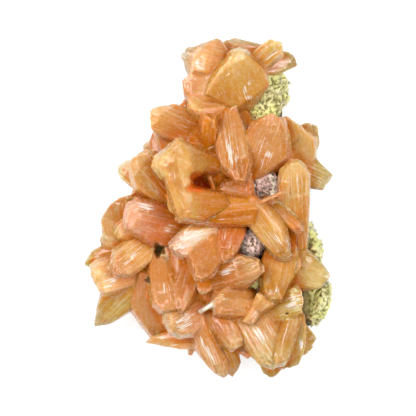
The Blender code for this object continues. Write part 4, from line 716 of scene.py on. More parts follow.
def turned(dx, dy, degrees):
    """An offset in plan as its parts along and across a direction."""
    turn = math.radians(degrees)
    return dx * math.cos(turn) + dy * math.sin(turn), dy * math.cos(turn) - dx * math.sin(turn)


def mixed(one, other, share):
    return one + share * (other - one)


def smoothstep(value, low, high):
    share = np.clip((value - low) / (high - low), 0.0, 1.0)
    return share * share * (3 - 2 * share)


def chance(index, seed):
    """A fixed pseudo-random number from 0 to 1 for each whole index."""
    return np.modf(np.abs(np.sin(index * 12.9898 + seed * 78.233)) * 43758.5453)[0]


def noise_at(places):
    return np.array([noise.noise(place) for place in places.tolist()])


def relief_height(height):
    return max(height, 0.0) if height < SHOULDER else SHOULDER + RELIEF * (height - SHOULDER)


def inside(polygon, x, y):
    """Whether a place in plan is inside the polygon."""
    crossings = 0
    for (x0, y0), (x1, y1) in zip(polygon, (*polygon[1:], polygon[0])):
        if (y0 > y) != (y1 > y) and x < x0 + (y - y0) * (x1 - x0) / (y1 - y0):
            crossings += 1
    return crossings % 2 == 1


def under_others(x, y, crystal):
    """Whether another crystal's outline covers a place in plan."""
    return any(
        inside(other.outline, x, y)
        for sheaf in SHEAVES
        for other in sheaf.crystals
        if other.name != crystal.name
    )


def in_mat(x, y, beyond=0.0):
    """Whether a place in plan is in a crust of mordenite, or less than this far from one."""
    for mat in MATS:
        along, across = turned(x - mat.centre[0], y - mat.centre[1], mat.turn)
        along /= mat.radii[0] + beyond
        across /= mat.radii[1] + beyond
        if along * along + across * across < 1.0:
            return True
    return False


def in_hole(x, y):
    return any(math.hypot(x - hole_x, y - hole_y) < radius for hole_x, hole_y, radius in HOLES)


def inner_rim():
    """The rock's rim drawn in, as seen from above."""
    corners = []
    for x, y in ROCK_RIM:
        offset = Vector((x - ROCK_MIDDLE[0], y - ROCK_MIDDLE[1]))
        offset -= FILLER_INSET * offset.normalized()
        corners.append((ROCK_MIDDLE[0] + offset.x, ROCK_MIDDLE[1] + offset.y))
    return corners


INNER_RIM = inner_rim()


def open_ground(x, y):
    """Whether a place in plan is over the rock's middle, away from mordenite and from deep holes."""
    return not in_mat(x, y) and not in_hole(x, y) and inside(INNER_RIM, x, y)


def span_at(places, station):
    """The least and greatest distance across the hull of these (along, across) places at one station."""
    found = []
    for s0, c0 in places:
        for s1, c1 in places:
            if s0 <= station <= s1 and s1 > s0:
                found.append(c0 + (c1 - c0) * (station - s0) / (s1 - s0))
    return min(found), max(found)


def crystal_points(crystal):
    """The corners of the crystal: its outline, its crown, its foot and its keel."""
    root = Vector(crystal.root[:2])
    along = Vector(crystal.tip[:2]) - root
    length = along.length
    along.normalize()
    across = Vector((-along.y, along.x))
    start = relief_height(crystal.root[2])
    rise = relief_height(crystal.tip[2]) - start

    def point(s, c, height):
        place = root + s * along + c * across
        return Vector((place.x, place.y, start + rise * s / length + crystal.roll * c + height))

    corners = [Vector(corner) - root for corner in crystal.outline]
    places = [(corner.dot(along), corner.dot(across)) for corner in corners]
    first = min(s for s, _ in places)
    last = max(s for s, _ in places)
    for index, (s, c) in enumerate(places):
        back = ROOT_STRETCH * max(0.0, 1 - (s - first) / (ROOT_SHARE * (last - first)))
        spot = root + (s - back) * along + c * across
        if back and under_others(spot.x, spot.y, crystal):
            places[index] = (s - back, c)
            corners[index] = spot - root
    first = min(s for s, _ in places)
    reach = max(s for s, _ in places) - first

    points = [point(s, c, crystal.lift * RIM_UP) for s, c in places]
    for s, c in places:
        low, high = span_at(places, s)
        middle = (low + high) / 2
        points.append(point(s, middle + (c - middle) * RIM_DOWN_SHRINK, -crystal.drop * RIM_DOWN))
        aside = (c - middle) / max((high - low) / 2, TINY)
        share = CROWN_IN[0] + (1 - sum(CROWN_IN)) * (s - first) / reach
        low, high = span_at(places, first + share * reach)
        top = (low + high) / 2 + CROWN_FLAT * aside * (high - low) / 2
        points.append(point(first + share * reach, top, crystal.lift * CROWN_SIDE))
    ridge = RIDGE_ASIDE * (2 * float(chance(np.array(RIDGE_SEED), crystal.root[0] + crystal.tip[1])) - 1)
    for share in RIDGE_SHARES:
        low, high = span_at(places, first + share * reach)
        top = (low + high) / 2 + ridge * (high - low) / 2
        points.append(point(first + share * reach, top, crystal.lift))

    middle = sum(corners, Vector((0.0, 0.0))) / len(corners)
    feet = []
    for corner in corners:
        spot = corner + FLANK_OUT * (corner - middle).normalized()
        feet.append((spot.dot(along), spot.dot(across), FLANK_DOWN))
    low, high = span_at(places, first + BACK_AT * reach)
    for near, far in ((low, high), (high, low)):
        feet.append((first - BACK_OUT, (1 - BACK_INSET) * near + BACK_INSET * far, BACK_DOWN))
    for s, c, depth in feet:
        spot = root + s * along + c * across
        if open_ground(spot.x, spot.y) or under_others(spot.x, spot.y, crystal):
            points.append(point(s, c, -crystal.drop * RIM_DOWN - depth))

    for share, depth in ((KEEL_INSET[0], 1.0), (1 - KEEL_INSET[1], KEEL_AT_TIP)):
        station = first + share * reach
        low, high = span_at(places, station)
        for side in (-1, 1):
            across_place = (low + high) / 2 + side * KEEL_FLAT * (high - low) / 2
            points.append(point(station, across_place, -crystal.drop * depth))
    return points


def knot_points(knot):
    """The corners of a rough block, from an icosahedron pushed in and out."""
    top = relief_height(knot.high)
    middle = (knot.low + top) / 2
    half = (top - knot.low) / 2
    points = []
    shape = bmesh.new()
    bmesh.ops.create_icosphere(shape, subdivisions=1, radius=1.0)
    for vert in shape.verts:
        seed = Vector((*knot.centre, 0.0)) + vert.co * KNOT_NOISE_SCALE
        push = 1.0 + KNOT_ROUGHNESS * noise.noise(seed)
        points.append(Vector((
            knot.centre[0] + knot.radius * push * vert.co.x,
            knot.centre[1] + knot.radius * push * vert.co.y,
            middle + half * push * vert.co.z,
        )))
    shape.free()
    return points


def filler_points(origin, turn, tilt, length, width, thickness):
    """The corners of one small pointed blade, and its axes."""
    along = Vector((math.cos(turn) * math.cos(tilt), math.sin(turn) * math.cos(tilt), math.sin(tilt)))
    across = Vector((-math.sin(turn), math.cos(turn), 0.0))
    out = along.cross(across)
    points = []
    for share, wide, thick in FILLER_SECTIONS:
        middle = origin + along * share * length
        for side in (-0.5, 0.5):
            for up in (-0.5, 0.5):
                points.append(middle + across * side * wide * width + out * up * thick * thickness)
    return points, (along, across, out)


class Part(namedtuple("Part", "mesh normals offsets origin axes ends look seed")):
    """One blade or knot of a sheaf.

    It has its hull's planes, its own axes (along, across and out of its broad face), the ends of its
    length, its look and a seed for its details.
    """

    def outside(self, places):
        """How far each place is outside each plane of the hull."""
        return places @ self.normals.T - self.offsets

    def share(self, along):
        """How far along the part a place is, from 0 to 1."""
        return (along - self.ends[0]) / (self.ends[1] - self.ends[0])

    def tops(self, xy):
        """The height of the top of the hull over each place in plan, or zero beside it."""
        flat = self.offsets - xy @ self.normals[:, :2].T
        lean = self.normals[:, 2]
        upward, downward = lean > TINY, lean < -TINY
        up = np.where(upward, flat / np.where(upward, lean, 1.0), np.inf).min(axis=1)
        down = np.where(downward, flat / np.where(downward, lean, 1.0), -np.inf).max(axis=1)
        beside = (np.where(upward | downward, 1.0, flat) < 0).any(axis=1)
        return np.where((down <= up) & ~beside, up, 0.0)


def hull_of(points):
    """A bmesh of the convex hull of points in millimetres."""
    shape = bmesh.new()
    for point in points:
        shape.verts.new(point)
    made = bmesh.ops.convex_hull(shape, input=list(shape.verts))
    spare = {item for key in ("geom_interior", "geom_unused") for item in made[key]}
    spare = [item for item in spare if isinstance(item, bmesh.types.BMVert)]
    bmesh.ops.delete(shape, geom=spare, context="VERTS")
    bmesh.ops.recalc_face_normals(shape, faces=shape.faces)
    return shape


def mesh_of(name, shape):
    """The mesh of a bmesh, which is freed."""
    mesh = bpy.data.meshes.new(name)
    shape.to_mesh(mesh)
    shape.free()
    return mesh


def part_of(points, origin, axes, look, seed):
    shape = hull_of(points)
    normals = np.array([face.normal for face in shape.faces])
    offsets = np.array([face.normal.dot(face.verts[0].co) for face in shape.faces])
    axes = np.array(axes)
    reach = (np.array(points) - np.array(origin)) @ axes[0]
    ends = (reach.min(), reach.max())
    return Part(mesh_of("hull", shape), normals, offsets, np.array(origin), axes, ends, look, seed)


def crystal_part(crystal, seed):
    root = Vector((*crystal.root[:2], relief_height(crystal.root[2])))
    tip = Vector((*crystal.tip[:2], relief_height(crystal.tip[2])))
    along = (tip - root).normalized()
    across = Vector((-along.y, along.x, 0.0)).normalized()
    across = (across + Vector((0.0, 0.0, crystal.roll))).normalized()
    out = along.cross(across).normalized()
    across = out.cross(along)
    return part_of(crystal_points(crystal), root, (along, across, out), crystal.look, seed)


def knot_part(knot, seed):
    origin = Vector((*knot.centre, knot.low))
    axes = (Vector((0, 0, 1)), Vector((1, 0, 0)), Vector((0, 1, 0)))
    return part_of(knot_points(knot), origin, axes, KNOT_LOOK, seed)


def fill_heights(parts):
    """A coarse map, averaged over a few cells, of how high the crystals stand."""
    cells = np.stack(np.meshgrid(*map(np.arange, FILL_SIZE), indexing="ij"), axis=-1)
    xy = np.array(FILL_CORNER) + cells.reshape(-1, 2) * FILL_CELL
    top = np.zeros(len(xy))
    for part in parts:
        top = np.maximum(top, part.tops(xy))
    top = top.reshape(FILL_SIZE)
    known = (top > 0).astype(float)
    total = np.zeros(FILL_SIZE)
    count = np.zeros(FILL_SIZE)
    for dx in range(-FILL_REACH, FILL_REACH + 1):
        for dy in range(-FILL_REACH, FILL_REACH + 1):
            total += np.roll(top, (dx, dy), (0, 1))
            count += np.roll(known, (dx, dy), (0, 1))
    return total / np.maximum(count, 1.0)


def filler_parts(crystals):
    """The small blades that fill the gaps, by sheaf, each lying much as the nearest large blade does."""
    chance_of = np.random.default_rng(FILLER_SEED)
    heights = fill_heights([part for _, _, part in crystals])
    middles = np.array([np.array(crystal.outline).mean(axis=0) for _, crystal, _ in crystals])
    found = {sheaf.name: [] for sheaf in SHEAVES}
    for x in np.arange(*FILLER_X, FILLER_SPACING):
        for y in np.arange(*FILLER_Y, FILLER_SPACING):
            jitter = chance_of.uniform(-FILLER_SCATTER, FILLER_SCATTER, 2) * FILLER_SPACING
            px, py = np.array((x, y)) + jitter
            if not open_ground(px, py) or in_mat(px, py, FILLER_FROM_MAT):
                continue
            name, crystal, near = crystals[np.hypot(*(middles - (px, py)).T).argmin()]
            if crystal.name == "glint_blade":
                continue
            turn = math.atan2(near.axes[0][1], near.axes[0][0]) + chance_of.uniform(-FILLER_TURN, FILLER_TURN)
            tilt = chance_of.uniform(*FILLER_TILT)
            length = chance_of.uniform(*FILLER_LENGTH)
            width = chance_of.uniform(*FILLER_WIDTH)
            thickness = chance_of.uniform(*FILLER_THICKNESS)
            reach = np.array((length * math.cos(turn), length * math.sin(turn)))
            end = np.array((px, py)) + reach
            if in_mat(*end, FILLER_AT_MAT) or in_hole(*end) or in_hole(*(end - reach / 2)):
                continue
            cell = [int((place - corner) / FILL_CELL) for place, corner in zip((px, py), FILL_CORNER)]
            top = heights[cell[0], cell[1]] - FILL_BELOW
            start = Vector((px, py, max(top - length * math.sin(tilt), FILLER_LOWEST)))
            points, axes = filler_points(start, turn, tilt, length, width, thickness)
            # The small blades' roots take the amber of painted crevice shade.
            look = Look(CREVICE_SHADE_AMBER, near.look.root, near.look.body, *FILLER_FEEL)
            seed = near.seed + FILLER_SEED_STEP * len(found[name])
            found[name].append(part_of(points, points[0], axes, look, seed))
    return found


def new_object(name, data):
    piece = bpy.data.objects.new(name, data)
    bpy.context.scene.collection.objects.link(piece)
    return piece


def fused_skin(parts, name):
    """One closed skin around overlapping hulls, in millimetres."""
    shape = bmesh.new()
    for part in parts:
        shape.from_mesh(part.mesh)
    mesh = mesh_of(name, shape)
    piece = new_object(name, mesh)
    skin = piece.modifiers.new("skin", "REMESH")
    skin.mode = "VOXEL"
    skin.voxel_size = SKIN_VOXEL
    graph = bpy.context.evaluated_depsgraph_get()
    fused = bpy.data.meshes.new_from_object(piece.evaluated_get(graph))
    piece.modifiers.clear()
    piece.data = fused
    bpy.data.meshes.remove(mesh)
    return piece


def vectors_of(mesh, field="co"):
    """A field of each of the mesh's points: its place, or its normal."""
    values = np.empty(len(mesh.vertices) * 3)
    mesh.vertices.foreach_get(field, values)
    return values.reshape(-1, 3)


def set_places(mesh, places):
    mesh.vertices.foreach_set("co", places.ravel())
    mesh.update()


def set_attribute(mesh, name, kind, values):
    field = "color" if kind == "FLOAT_COLOR" else "vector"
    attribute = mesh.attributes.new(name, kind, "POINT")
    attribute.data.foreach_set(field, np.ascontiguousarray(values, dtype=np.float32).ravel())


def smoothed(mesh, places, rounds):
    """The places after each has moved halfway towards the middle of its neighbours."""
    edges = np.empty(len(mesh.edges) * 2, dtype=np.int64)
    mesh.edges.foreach_get("vertices", edges)
    a, b = edges.reshape(-1, 2).T
    size = len(places)
    count = np.bincount(np.concatenate((a, b)), minlength=size)[:, None]
    for _ in range(rounds):
        total = np.zeros_like(places)
        for axis in range(3):
            column = places[:, axis]
            total[:, axis] = np.bincount(a, column[b], size) + np.bincount(b, column[a], size)
        places = mixed(places, total / count, 0.5)
    return places


def ledges(across, width, seed, edge):
    """Flat steps across a blade, each with its own height from -1 to 1, and the number of each step."""
    position = across / width + seed
    index = np.floor(position)
    turn = smoothstep(position - index, 0.0, edge)
    return 2 * mixed(chance(index - 1, seed), chance(index, seed), turn) - 1, index


def distances(places, parts):
    """For each place, how far it is outside each part's hull."""
    return np.stack([part.outside(places).max(axis=1) for part in parts], axis=1)


def detail(places, normals, parts):
    """The places after ledges, ribs, waves and ragged ends are cut into the skin."""
    owner = distances(places, parts).argmin(axis=1)
    waves = noise_at(places / WAVE_WIDTH + WAVE_SEED)
    push = WAVE_DEPTH * waves + GRAIN_DEPTH * noise_at(places / GRAIN_WIDTH)
    moved = places + normals * push[:, None]
    for index, part in enumerate(parts):
        mine = np.flatnonzero(owner == index)
        if not len(mine):
            continue
        s, c, h = ((places[mine] - part.origin) @ part.axes.T).T
        facing = normals[mine] @ part.axes.T
        side, length = np.abs(facing[:, 2]), 1 - np.abs(facing[:, 0])
        striae = part.look.striae
        bend = BEND_DEPTH * np.sin(s / BEND_LENGTH + part.seed)
        broad, plate = ledges(c + bend, PLATE_WIDTH, part.seed, PLATE_EDGE)
        ribs, _ = ledges(c + RIB_SLANT * h + bend, RIB_WIDTH, part.seed + RIB_SEED, RIB_EDGE)
        ragged, _ = ledges(c + END_SLANT * h, END_WIDTH, part.seed + END_SEED, END_EDGE)
        depth = striae * (PLATE_DEPTH * broad * side + RIB_DEPTH * ribs * length)
        end = PLATE_END[0] + PLATE_END[1] * chance(plate, part.seed + PLATE_END_SEED)
        past = smoothstep(part.share(s), end, end + PLATE_END_EDGE)
        depth -= LEDGE_DEPTH * past * side * (LEDGE_LEAST + striae)
        depth += END_DEPTH * ragged * np.clip(facing[:, 0], 0, 1) * (END_LEAST + striae)
        moved[mine] += normals[mine] * depth[:, None]
    return moved


def pit_share(pit, places):
    """How far out in the pit each place lies: 0 at its middle and 1 at its ragged rim."""
    dx, dy = places[:, 0] - pit.x, places[:, 1] - pit.y
    turn = np.arctan2(dy, dx)
    rim = 1
    for (deep, number), shift in zip(PIT_BUMPS, (pit.x, pit.y)):
        rim = rim + deep * np.sin(number * turn + shift)
    return np.hypot(dx / pit.radii[0], dy / pit.radii[1]) / rim


def dented(places):
    """Sinks the places that lie in the pits between the crystals."""
    for pit in PITS:
        places[:, 2] -= pit.depth * (1 - smoothstep(pit_share(pit, places), *PIT_SLOPE))
    return places


def make_sheaf(sheaf, number, parts):
    parts = parts + [knot_part(knot, number + KNOT_SEED + index) for index, knot in enumerate(sheaf.knots)]
    piece = fused_skin(parts, sheaf.name + "_crystals")
    mesh = piece.data
    places = smoothed(mesh, vectors_of(mesh), SKIN_SMOOTHINGS + EXTRA_SMOOTHINGS.get(sheaf.name, 0))
    set_places(mesh, places)
    set_places(mesh, dented(detail(places, vectors_of(mesh, "normal"), parts)))
    return piece, parts


def linear(colour):
    """A 0 to 255 sRGB colour as linear light."""
    value = np.array(colour) / 255.0
    return np.where(value <= 0.04045, value / 12.92, ((value + 0.055) / 1.055) ** 2.4)


def rgba(colour):
    return (*linear(colour), 1.0)


def colour_along(look, share):
    """The look's colour at each share of a blade's length."""
    colours = np.array([linear(colour) * TONE for colour in (look.root, look.body, look.body, look.tip)])
    return np.stack([np.interp(share, STOPS, channel) for channel in colours.T], axis=1)


def paleness(colours):
    """How pale and milky each colour is, from 0 to 1."""
    return smoothstep(colours[:, 2:] / colours[:, :1], *PALE_SHARE)


def height_map(pieces):
    """Reads, over each place, the blurred height of the specimen and how closed it is around."""
    places = np.concatenate([vectors_of(piece.data) for piece in pieces])
    low = places[:, :2].min(axis=0) - MAP_MARGIN
    size = np.ceil((places[:, :2].max(axis=0) + MAP_MARGIN - low) / MAP_CELL).astype(int)
    grid = np.zeros(size)

    def cells(points):
        return tuple(((points[:, :2] - low) / MAP_CELL).astype(int).T)

    np.maximum.at(grid, cells(places), places[:, 2])
    known = (grid > 0).astype(float)
    for _ in range(MAP_BLURS):
        for axis in (0, 1):
            grid = grid + np.roll(grid, 1, axis) + np.roll(grid, -1, axis)
            known = known + np.roll(known, 1, axis) + np.roll(known, -1, axis)
    grid = grid / np.maximum(known, TINY)
    closed = smoothstep(known / 9.0 ** MAP_BLURS, *MAP_CLOSED)

    def read(points):
        where = cells(points)
        return grid[where], closed[where]

    return read


def blade_tints(places, parts, distance, wall_shade):
    """Each point's colour and feel, blended from the blades around it, and its place along its own one."""
    weight = np.exp(-(distance - distance.min(axis=1)[:, None]) / BLEND)
    weight /= weight.sum(axis=1, keepdims=True)
    owner = distance.argmin(axis=1)
    tint, feel, lay = (np.zeros_like(places) for _ in range(3))
    for index, part in enumerate(parts):
        colour = colour_along(part.look, part.share((places - part.origin) @ part.axes[0]))
        # Painted shade on the steep sides.
        kept = 1 - PALE_KEEPS * paleness(colour)
        colour = mixed(colour, colour * SIDE_SHADE_TINT, kept * wall_shade)
        tint += weight[:, index, None] * colour
        feel += weight[:, index, None] * np.array((part.look.striae, part.look.streaks, part.look.sparkle))
    # Painted light and shade: each facet is made lighter or darker at random, by its direction.
    for index, part in enumerate(parts):
        mine = np.flatnonzero(owner == index)
        facet = part.outside(places[mine]).argmax(axis=1)
        kind = (np.round(part.normals * FACET_STEPS) @ FACET_NUMBER)[facet]
        shade = 2 * chance(kind, part.seed) - 1
        pale = np.clip(shade, 0, 1)[:, None]
        deep = FACET_SHADED * np.clip(-shade, 0, 1)[:, None]
        colour = mixed(tint[mine], tint[mine] * FACET_LIT, pale)
        tint[mine] = mixed(colour, colour * FACET_SHADE_TINT, deep)
        lay[mine] = (places[mine] - part.origin) @ part.axes.T + part.seed * LAY_SEED
    return tint, feel, lay


def colour_skin(piece, parts, read_height):
    """Stores each point's tint, its place along its own blade and how its blade looks."""
    mesh = piece.data
    places = vectors_of(mesh)
    normals = vectors_of(mesh, "normal")
    height, closed = read_height(places)
    drop = height - places[:, 2]
    # Painted shade: places sunk below the crystals around them, where shade falls, count as crevices.
    crevice_shade = (smoothstep(drop, *CREVICE_SHADE_DROP) * closed)[:, None]
    # Painted shade on the steep sides, stronger where they lie below the crystals around them.
    wall_shade = smoothstep(SIDE_STEEP - normals[:, 2], 0.0, SIDE_RANGE)
    wall_shade = wall_shade * (SIDE_OPEN + (1 - SIDE_OPEN) * smoothstep(drop, *SIDE_DROP) * closed)
    wall_shade = SIDE_SHADE_STRENGTH * wall_shade[:, None]
    tint, feel, lay = blade_tints(places, parts, distances(places, parts), wall_shade)

    edge = ((smoothed(mesh, places, EDGE_SMOOTHINGS) - places) * normals).sum(axis=1)
    ridge = smoothstep(-edge, *EDGE_HEIGHT)[:, None]
    groove_shade = smoothstep(edge, *EDGE_HEIGHT)[:, None]
    # Painted highlight on the ridges, and painted shade in the grooves.
    tint = mixed(tint, linear(CREAM), RIDGE_HIGHLIGHT * ridge)
    tint = mixed(tint, tint * SIDE_SHADE_TINT, GROOVE_SHADE * groove_shade)
    kept = 1 - PALE_KEEPS * paleness(tint)
    # The crevices are painted deep amber as shade, and lose their painted highlights.
    tint = mixed(tint, linear(CREVICE_SHADE_AMBER), CREVICE_SHADE_TINT * kept * crevice_shade)
    feel[:, 1:] *= 1 - crevice_shade
    # The pits are painted: the rock at their bottom and painted shade.
    for pit in PITS:
        within = (1 - smoothstep(pit_share(pit, places), *PIT_SHADE_REACH))[:, None]
        tint = mixed(tint, linear(pit.colour), within)
        feel = feel * (1 - within)
    # Painted highlights: each flash turns up its place's striations and white streaks.
    for flash in PAINTED_FLASHES:
        along, across = turned(places[:, 0] - flash.x, places[:, 1] - flash.y, flash.turn)
        strength = flash.strength * np.exp(-((along / flash.length) ** 2) - (across / flash.width) ** 2)
        strength = strength * (1 - CREVICE_SHADE_FLASH * crevice_shade[:, 0])
        feel[:, :2] = np.maximum(feel[:, :2], strength[:, None])
    tint = np.clip(tint * (1 + (1 - closed[:, None]) * OPEN_TONE), 0.0, TINT_MOST)
    glow = 1 - MILKY * paleness(tint)
    set_attribute(mesh, "tint", "FLOAT_COLOR", np.concatenate((tint, glow), axis=1))
    set_attribute(mesh, "lay", "FLOAT_VECTOR", lay)
    set_attribute(mesh, "feel", "FLOAT_VECTOR", feel)


class Nodes:
    """A short way to make and join the nodes of one material."""

    def __init__(self, name):
        self.material = bpy.data.materials.new(name)
        self.material.use_nodes = True
        self.tree = self.material.node_tree
        self.shader = self.tree.nodes["Principled BSDF"]

    def add(self, kind, inputs=(), **settings):
        node = self.tree.nodes.new(kind)
        for key, value in settings.items():
            setattr(node, key, value)
        for key, value in dict(inputs).items():
            self.put(node.inputs[key], value)
        return node

    def put(self, socket, value):
        if isinstance(value, bpy.types.NodeSocket):
            self.tree.links.new(value, socket)
        else:
            socket.default_value = value

    def stored(self, name):
        return self.add("ShaderNodeAttribute", attribute_name=name).outputs

    def place(self):
        """The place on the piece, in millimetres."""
        return self.scaled(self.add("ShaderNodeTexCoord").outputs["Object"], (1 / MM, 1 / MM, 1 / MM))

    def scaled(self, vector, scale):
        node = self.add("ShaderNodeVectorMath", {0: vector, 1: scale}, operation="MULTIPLY")
        return node.outputs["Vector"]

    def noise(self, vector, scale=1.0, detail=2.0, roughness=0.5):
        inputs = {"Vector": vector, "Scale": scale, "Detail": detail, "Roughness": roughness}
        return self.add("ShaderNodeTexNoise", inputs).outputs["Fac"]

    def ramp(self, value, low, high, to_low=0.0, to_high=1.0):
        inputs = {"Value": value, "From Min": low, "From Max": high, "To Min": to_low, "To Max": to_high}
        return self.add("ShaderNodeMapRange", inputs, interpolation_type="SMOOTHSTEP").outputs["Result"]

    def maths(self, operation, a, b):
        return self.add("ShaderNodeMath", {0: a, 1: b}, operation=operation).outputs["Value"]

    def times(self, a, b):
        return self.maths("MULTIPLY", a, b)

    def mix(self, factor, a, b, **settings):
        inputs = {"Factor": factor, 6: a, 7: b}
        return self.add("ShaderNodeMix", inputs, data_type="RGBA", **settings).outputs[2]

    def multiplied(self, a, b):
        return self.mix(1.0, a, b, blend_type="MULTIPLY")

    def bump(self, height, distance, **normal):
        inputs = {"Height": height, "Distance": distance, "Strength": 1.0, **normal}
        return self.add("ShaderNodeBump", inputs).outputs["Normal"]

    def finish(self, **values):
        for key, value in values.items():
            self.put(self.shader.inputs[key.replace("_", " ")], value)
        return self.material


def stilbite_material():
    """Waxy, translucent blades with striations along them, and painted highlights: white pearly streaks and a
    fine white sparkle.
    """
    nodes = Nodes("stilbite")
    stored = nodes.stored("tint")
    tint, glow = stored["Color"], stored["Alpha"]
    lay = nodes.stored("lay")["Vector"]
    feel = nodes.add("ShaderNodeSeparateXYZ", {"Vector": nodes.stored("feel")["Vector"]})
    striae, streaks, sparkle = (feel.outputs[axis] for axis in "XYZ")
    place = nodes.place()

    lines = nodes.noise(nodes.scaled(lay, LINE_SCALE), detail=3.0, roughness=0.6)
    short = nodes.noise(nodes.scaled(lay, STREAK_SCALE), detail=2.0)
    glint_specks = nodes.noise(nodes.scaled(lay, SPECK_SCALE), detail=2.0, roughness=0.7)
    cloud = nodes.noise(place, scale=0.2, detail=2.0)
    mottle = nodes.noise(place, scale=0.9, detail=3.0, roughness=0.6)

    pale = nodes.mix(WHITE_IN_PALE, tint, rgba(WHITE))
    deep = nodes.multiplied(tint, DEEP_TINT)
    body = nodes.mix(nodes.ramp(cloud, *CLOUD_DEEP), tint, deep)
    body = nodes.mix(nodes.ramp(mottle, *MOTTLE_DEEP), body, deep)
    body = nodes.mix(nodes.ramp(mottle, *MOTTLE_PALE), body, pale)
    # Painted sheen on the light lines along the striations, and painted shade on the dark ones.
    light_line = nodes.times(nodes.ramp(lines, *LIGHT_LINES), nodes.times(striae, LIGHT_LINE))
    body = nodes.mix(light_line, body, pale)
    dark_line = nodes.times(nodes.ramp(lines, *DARK_LINES), nodes.times(striae, DARK_LINE))
    body = nodes.mix(dark_line, body, deep)
    # Painted highlights: white pearly streaks, which also dull the glow, and white glinting specks.
    streak_highlight = nodes.ramp(nodes.maths("ADD", short, nodes.times(streaks, STREAK_MORE)), *STREAK_HIGHLIGHTS)
    body = nodes.mix(nodes.times(streak_highlight, STREAK_HIGHLIGHT_WHITE), body, rgba(WHITE))
    glow = nodes.times(glow, nodes.maths("SUBTRACT", 1.0, nodes.times(streak_highlight, STREAK_DULL)))
    speck_glint = nodes.times(nodes.ramp(glint_specks, *SPECK_GLINTS), nodes.times(sparkle, SPECK_GLINT_WHITE))
    body = nodes.mix(speck_glint, body, rgba(WHITE))

    normal = nodes.bump(nodes.times(lines, striae), LINE_BUMP)
    return nodes.finish(
        Base_Color=body,
        Roughness=nodes.ramp(mottle, *MOTTLE_ROUGH),
        Normal=nodes.bump(mottle, MOTTLE_BUMP, Normal=normal),
        IOR=1.5,
        Specular_IOR_Level=0.3,
        Subsurface_Weight=glow,
        Subsurface_Radius=(1.0, 0.4, 0.12),
        Subsurface_Scale=0.003,
        Coat_Weight=0.45,
        Coat_Roughness=0.08,
    )


def rock_material():
    """Brown rock with moss-coloured patches and pale grit."""
    nodes = Nodes("rock")
    place = nodes.place()
    patches = nodes.noise(place, scale=0.16, detail=4.0)
    grit = nodes.noise(place, scale=1.4, detail=4.0, roughness=0.7)
    body = nodes.mix(nodes.ramp(patches, *MOSS_PATCHES), rgba(ROCK_BROWN), rgba(MOSS))
    body = nodes.mix(nodes.ramp(grit, *GREY_GRIT), body, rgba(ROCK_GREY))
    body = nodes.mix(nodes.ramp(grit, *DARK_GRIT), body, rgba(ROCK_DARK))
    body = nodes.mix(nodes.ramp(grit, *CREAM_GRIT), body, rgba(FUZZ_CREAM))
    body = nodes.multiplied(body, nodes.stored("shade")["Color"])
    return nodes.finish(Base_Color=body, Roughness=0.85, Normal=nodes.bump(grit, ROCK_BUMP))


def needle_material():
    nodes = Nodes("mordenite")
    tint = nodes.stored("tint")["Color"]
    return nodes.finish(Base_Color=tint, Roughness=0.5, Subsurface_Weight=0.0)


def core_material():
    """The tight felt of needles that a crust's core stands for."""
    nodes = Nodes("mordenite_core")
    grit = nodes.noise(nodes.place(), scale=1.8, detail=3.0)
    marks = nodes.ramp(grit, *OLIVE_GRIT)
    body = nodes.mix(marks, nodes.stored("tint")["Color"], rgba(FUZZ_OLIVE))
    return nodes.finish(Base_Color=body, Roughness=0.9, Normal=nodes.bump(grit, CORE_BUMP))


def ball_of(subdivisions):
    shape = bmesh.new()
    bmesh.ops.create_icosphere(shape, subdivisions=subdivisions, radius=1.0)
    return shape


def rim_distances():
    """The angle and distance of each corner of the rock's rim from its middle, in order round it."""
    offsets = [(x - ROCK_MIDDLE[0], y - ROCK_MIDDLE[1]) for x, y in ROCK_RIM]
    rim = sorted((math.atan2(y, x), math.hypot(x, y)) for x, y in offsets)
    return np.array([(rim[-1][0] - math.tau, rim[-1][1]), *rim, (rim[0][0] + math.tau, rim[0][1])])


def make_rock():
    """The slab of rock, cut off flat underneath."""
    mesh = mesh_of("matrix_rock_rough", ball_of(ROCK_SUBDIVISIONS))
    ball = vectors_of(mesh)
    rim = rim_distances()
    angle = np.arctan2(ball[:, 1], ball[:, 0])
    radius = np.interp(angle, rim[:, 0], rim[:, 1]) * np.hypot(ball[:, 0], ball[:, 1]) ** ROCK_FILL
    height = np.copysign(np.abs(ball[:, 2]) ** ROCK_FILL, ball[:, 2])
    places = np.stack((
        ROCK_MIDDLE[0] + radius * np.cos(angle),
        ROCK_MIDDLE[1] + radius * np.sin(angle),
        ROCK_WIDEST + (ROCK_TOP - ROCK_WIDEST) * height,
    ), axis=1)
    set_places(mesh, places)
    push = np.zeros(len(places))
    for deep, wide in ROCK_LUMPS:
        push += deep * noise_at(places / wide + ROCK_SEED)
    for deep, wide in ROCK_RIDGES:
        push += deep * (np.abs(noise_at(places / wide)) * 2 - ROCK_RIDGE_MIDDLE)
    set_places(mesh, places + vectors_of(mesh, "normal") * push[:, None])
    shape = bmesh.new()
    shape.from_mesh(mesh)
    everything = [*shape.verts, *shape.edges, *shape.faces]
    cut = bmesh.ops.bisect_plane(
        shape, geom=everything, plane_co=(0, 0, 0), plane_no=(0, 0, 1), clear_inner=True
    )
    edges = [item for item in cut["geom_cut"] if isinstance(item, bmesh.types.BMEdge)]
    bmesh.ops.edgeloop_fill(shape, edges=edges)
    bmesh.ops.recalc_face_normals(shape, faces=shape.faces)
    shape.to_mesh(mesh)
    shape.free()
    return new_object("matrix_rock_rough", mesh)


def mound_places(mat, ball, depth):
    """The points of a ball stretched and turned into the crust's mound, sunk in by the depth."""
    ball = ball * (1 + MAT_LUMPS * noise_at(ball * MAT_LUMP_SCALE + mat.centre[0]))[:, None]
    x, y, z = (ball * (np.array(mat.radii) - depth)).T
    x, y = turned(x, y, -mat.turn)
    return np.stack((x, y, z), axis=1) + mat.centre


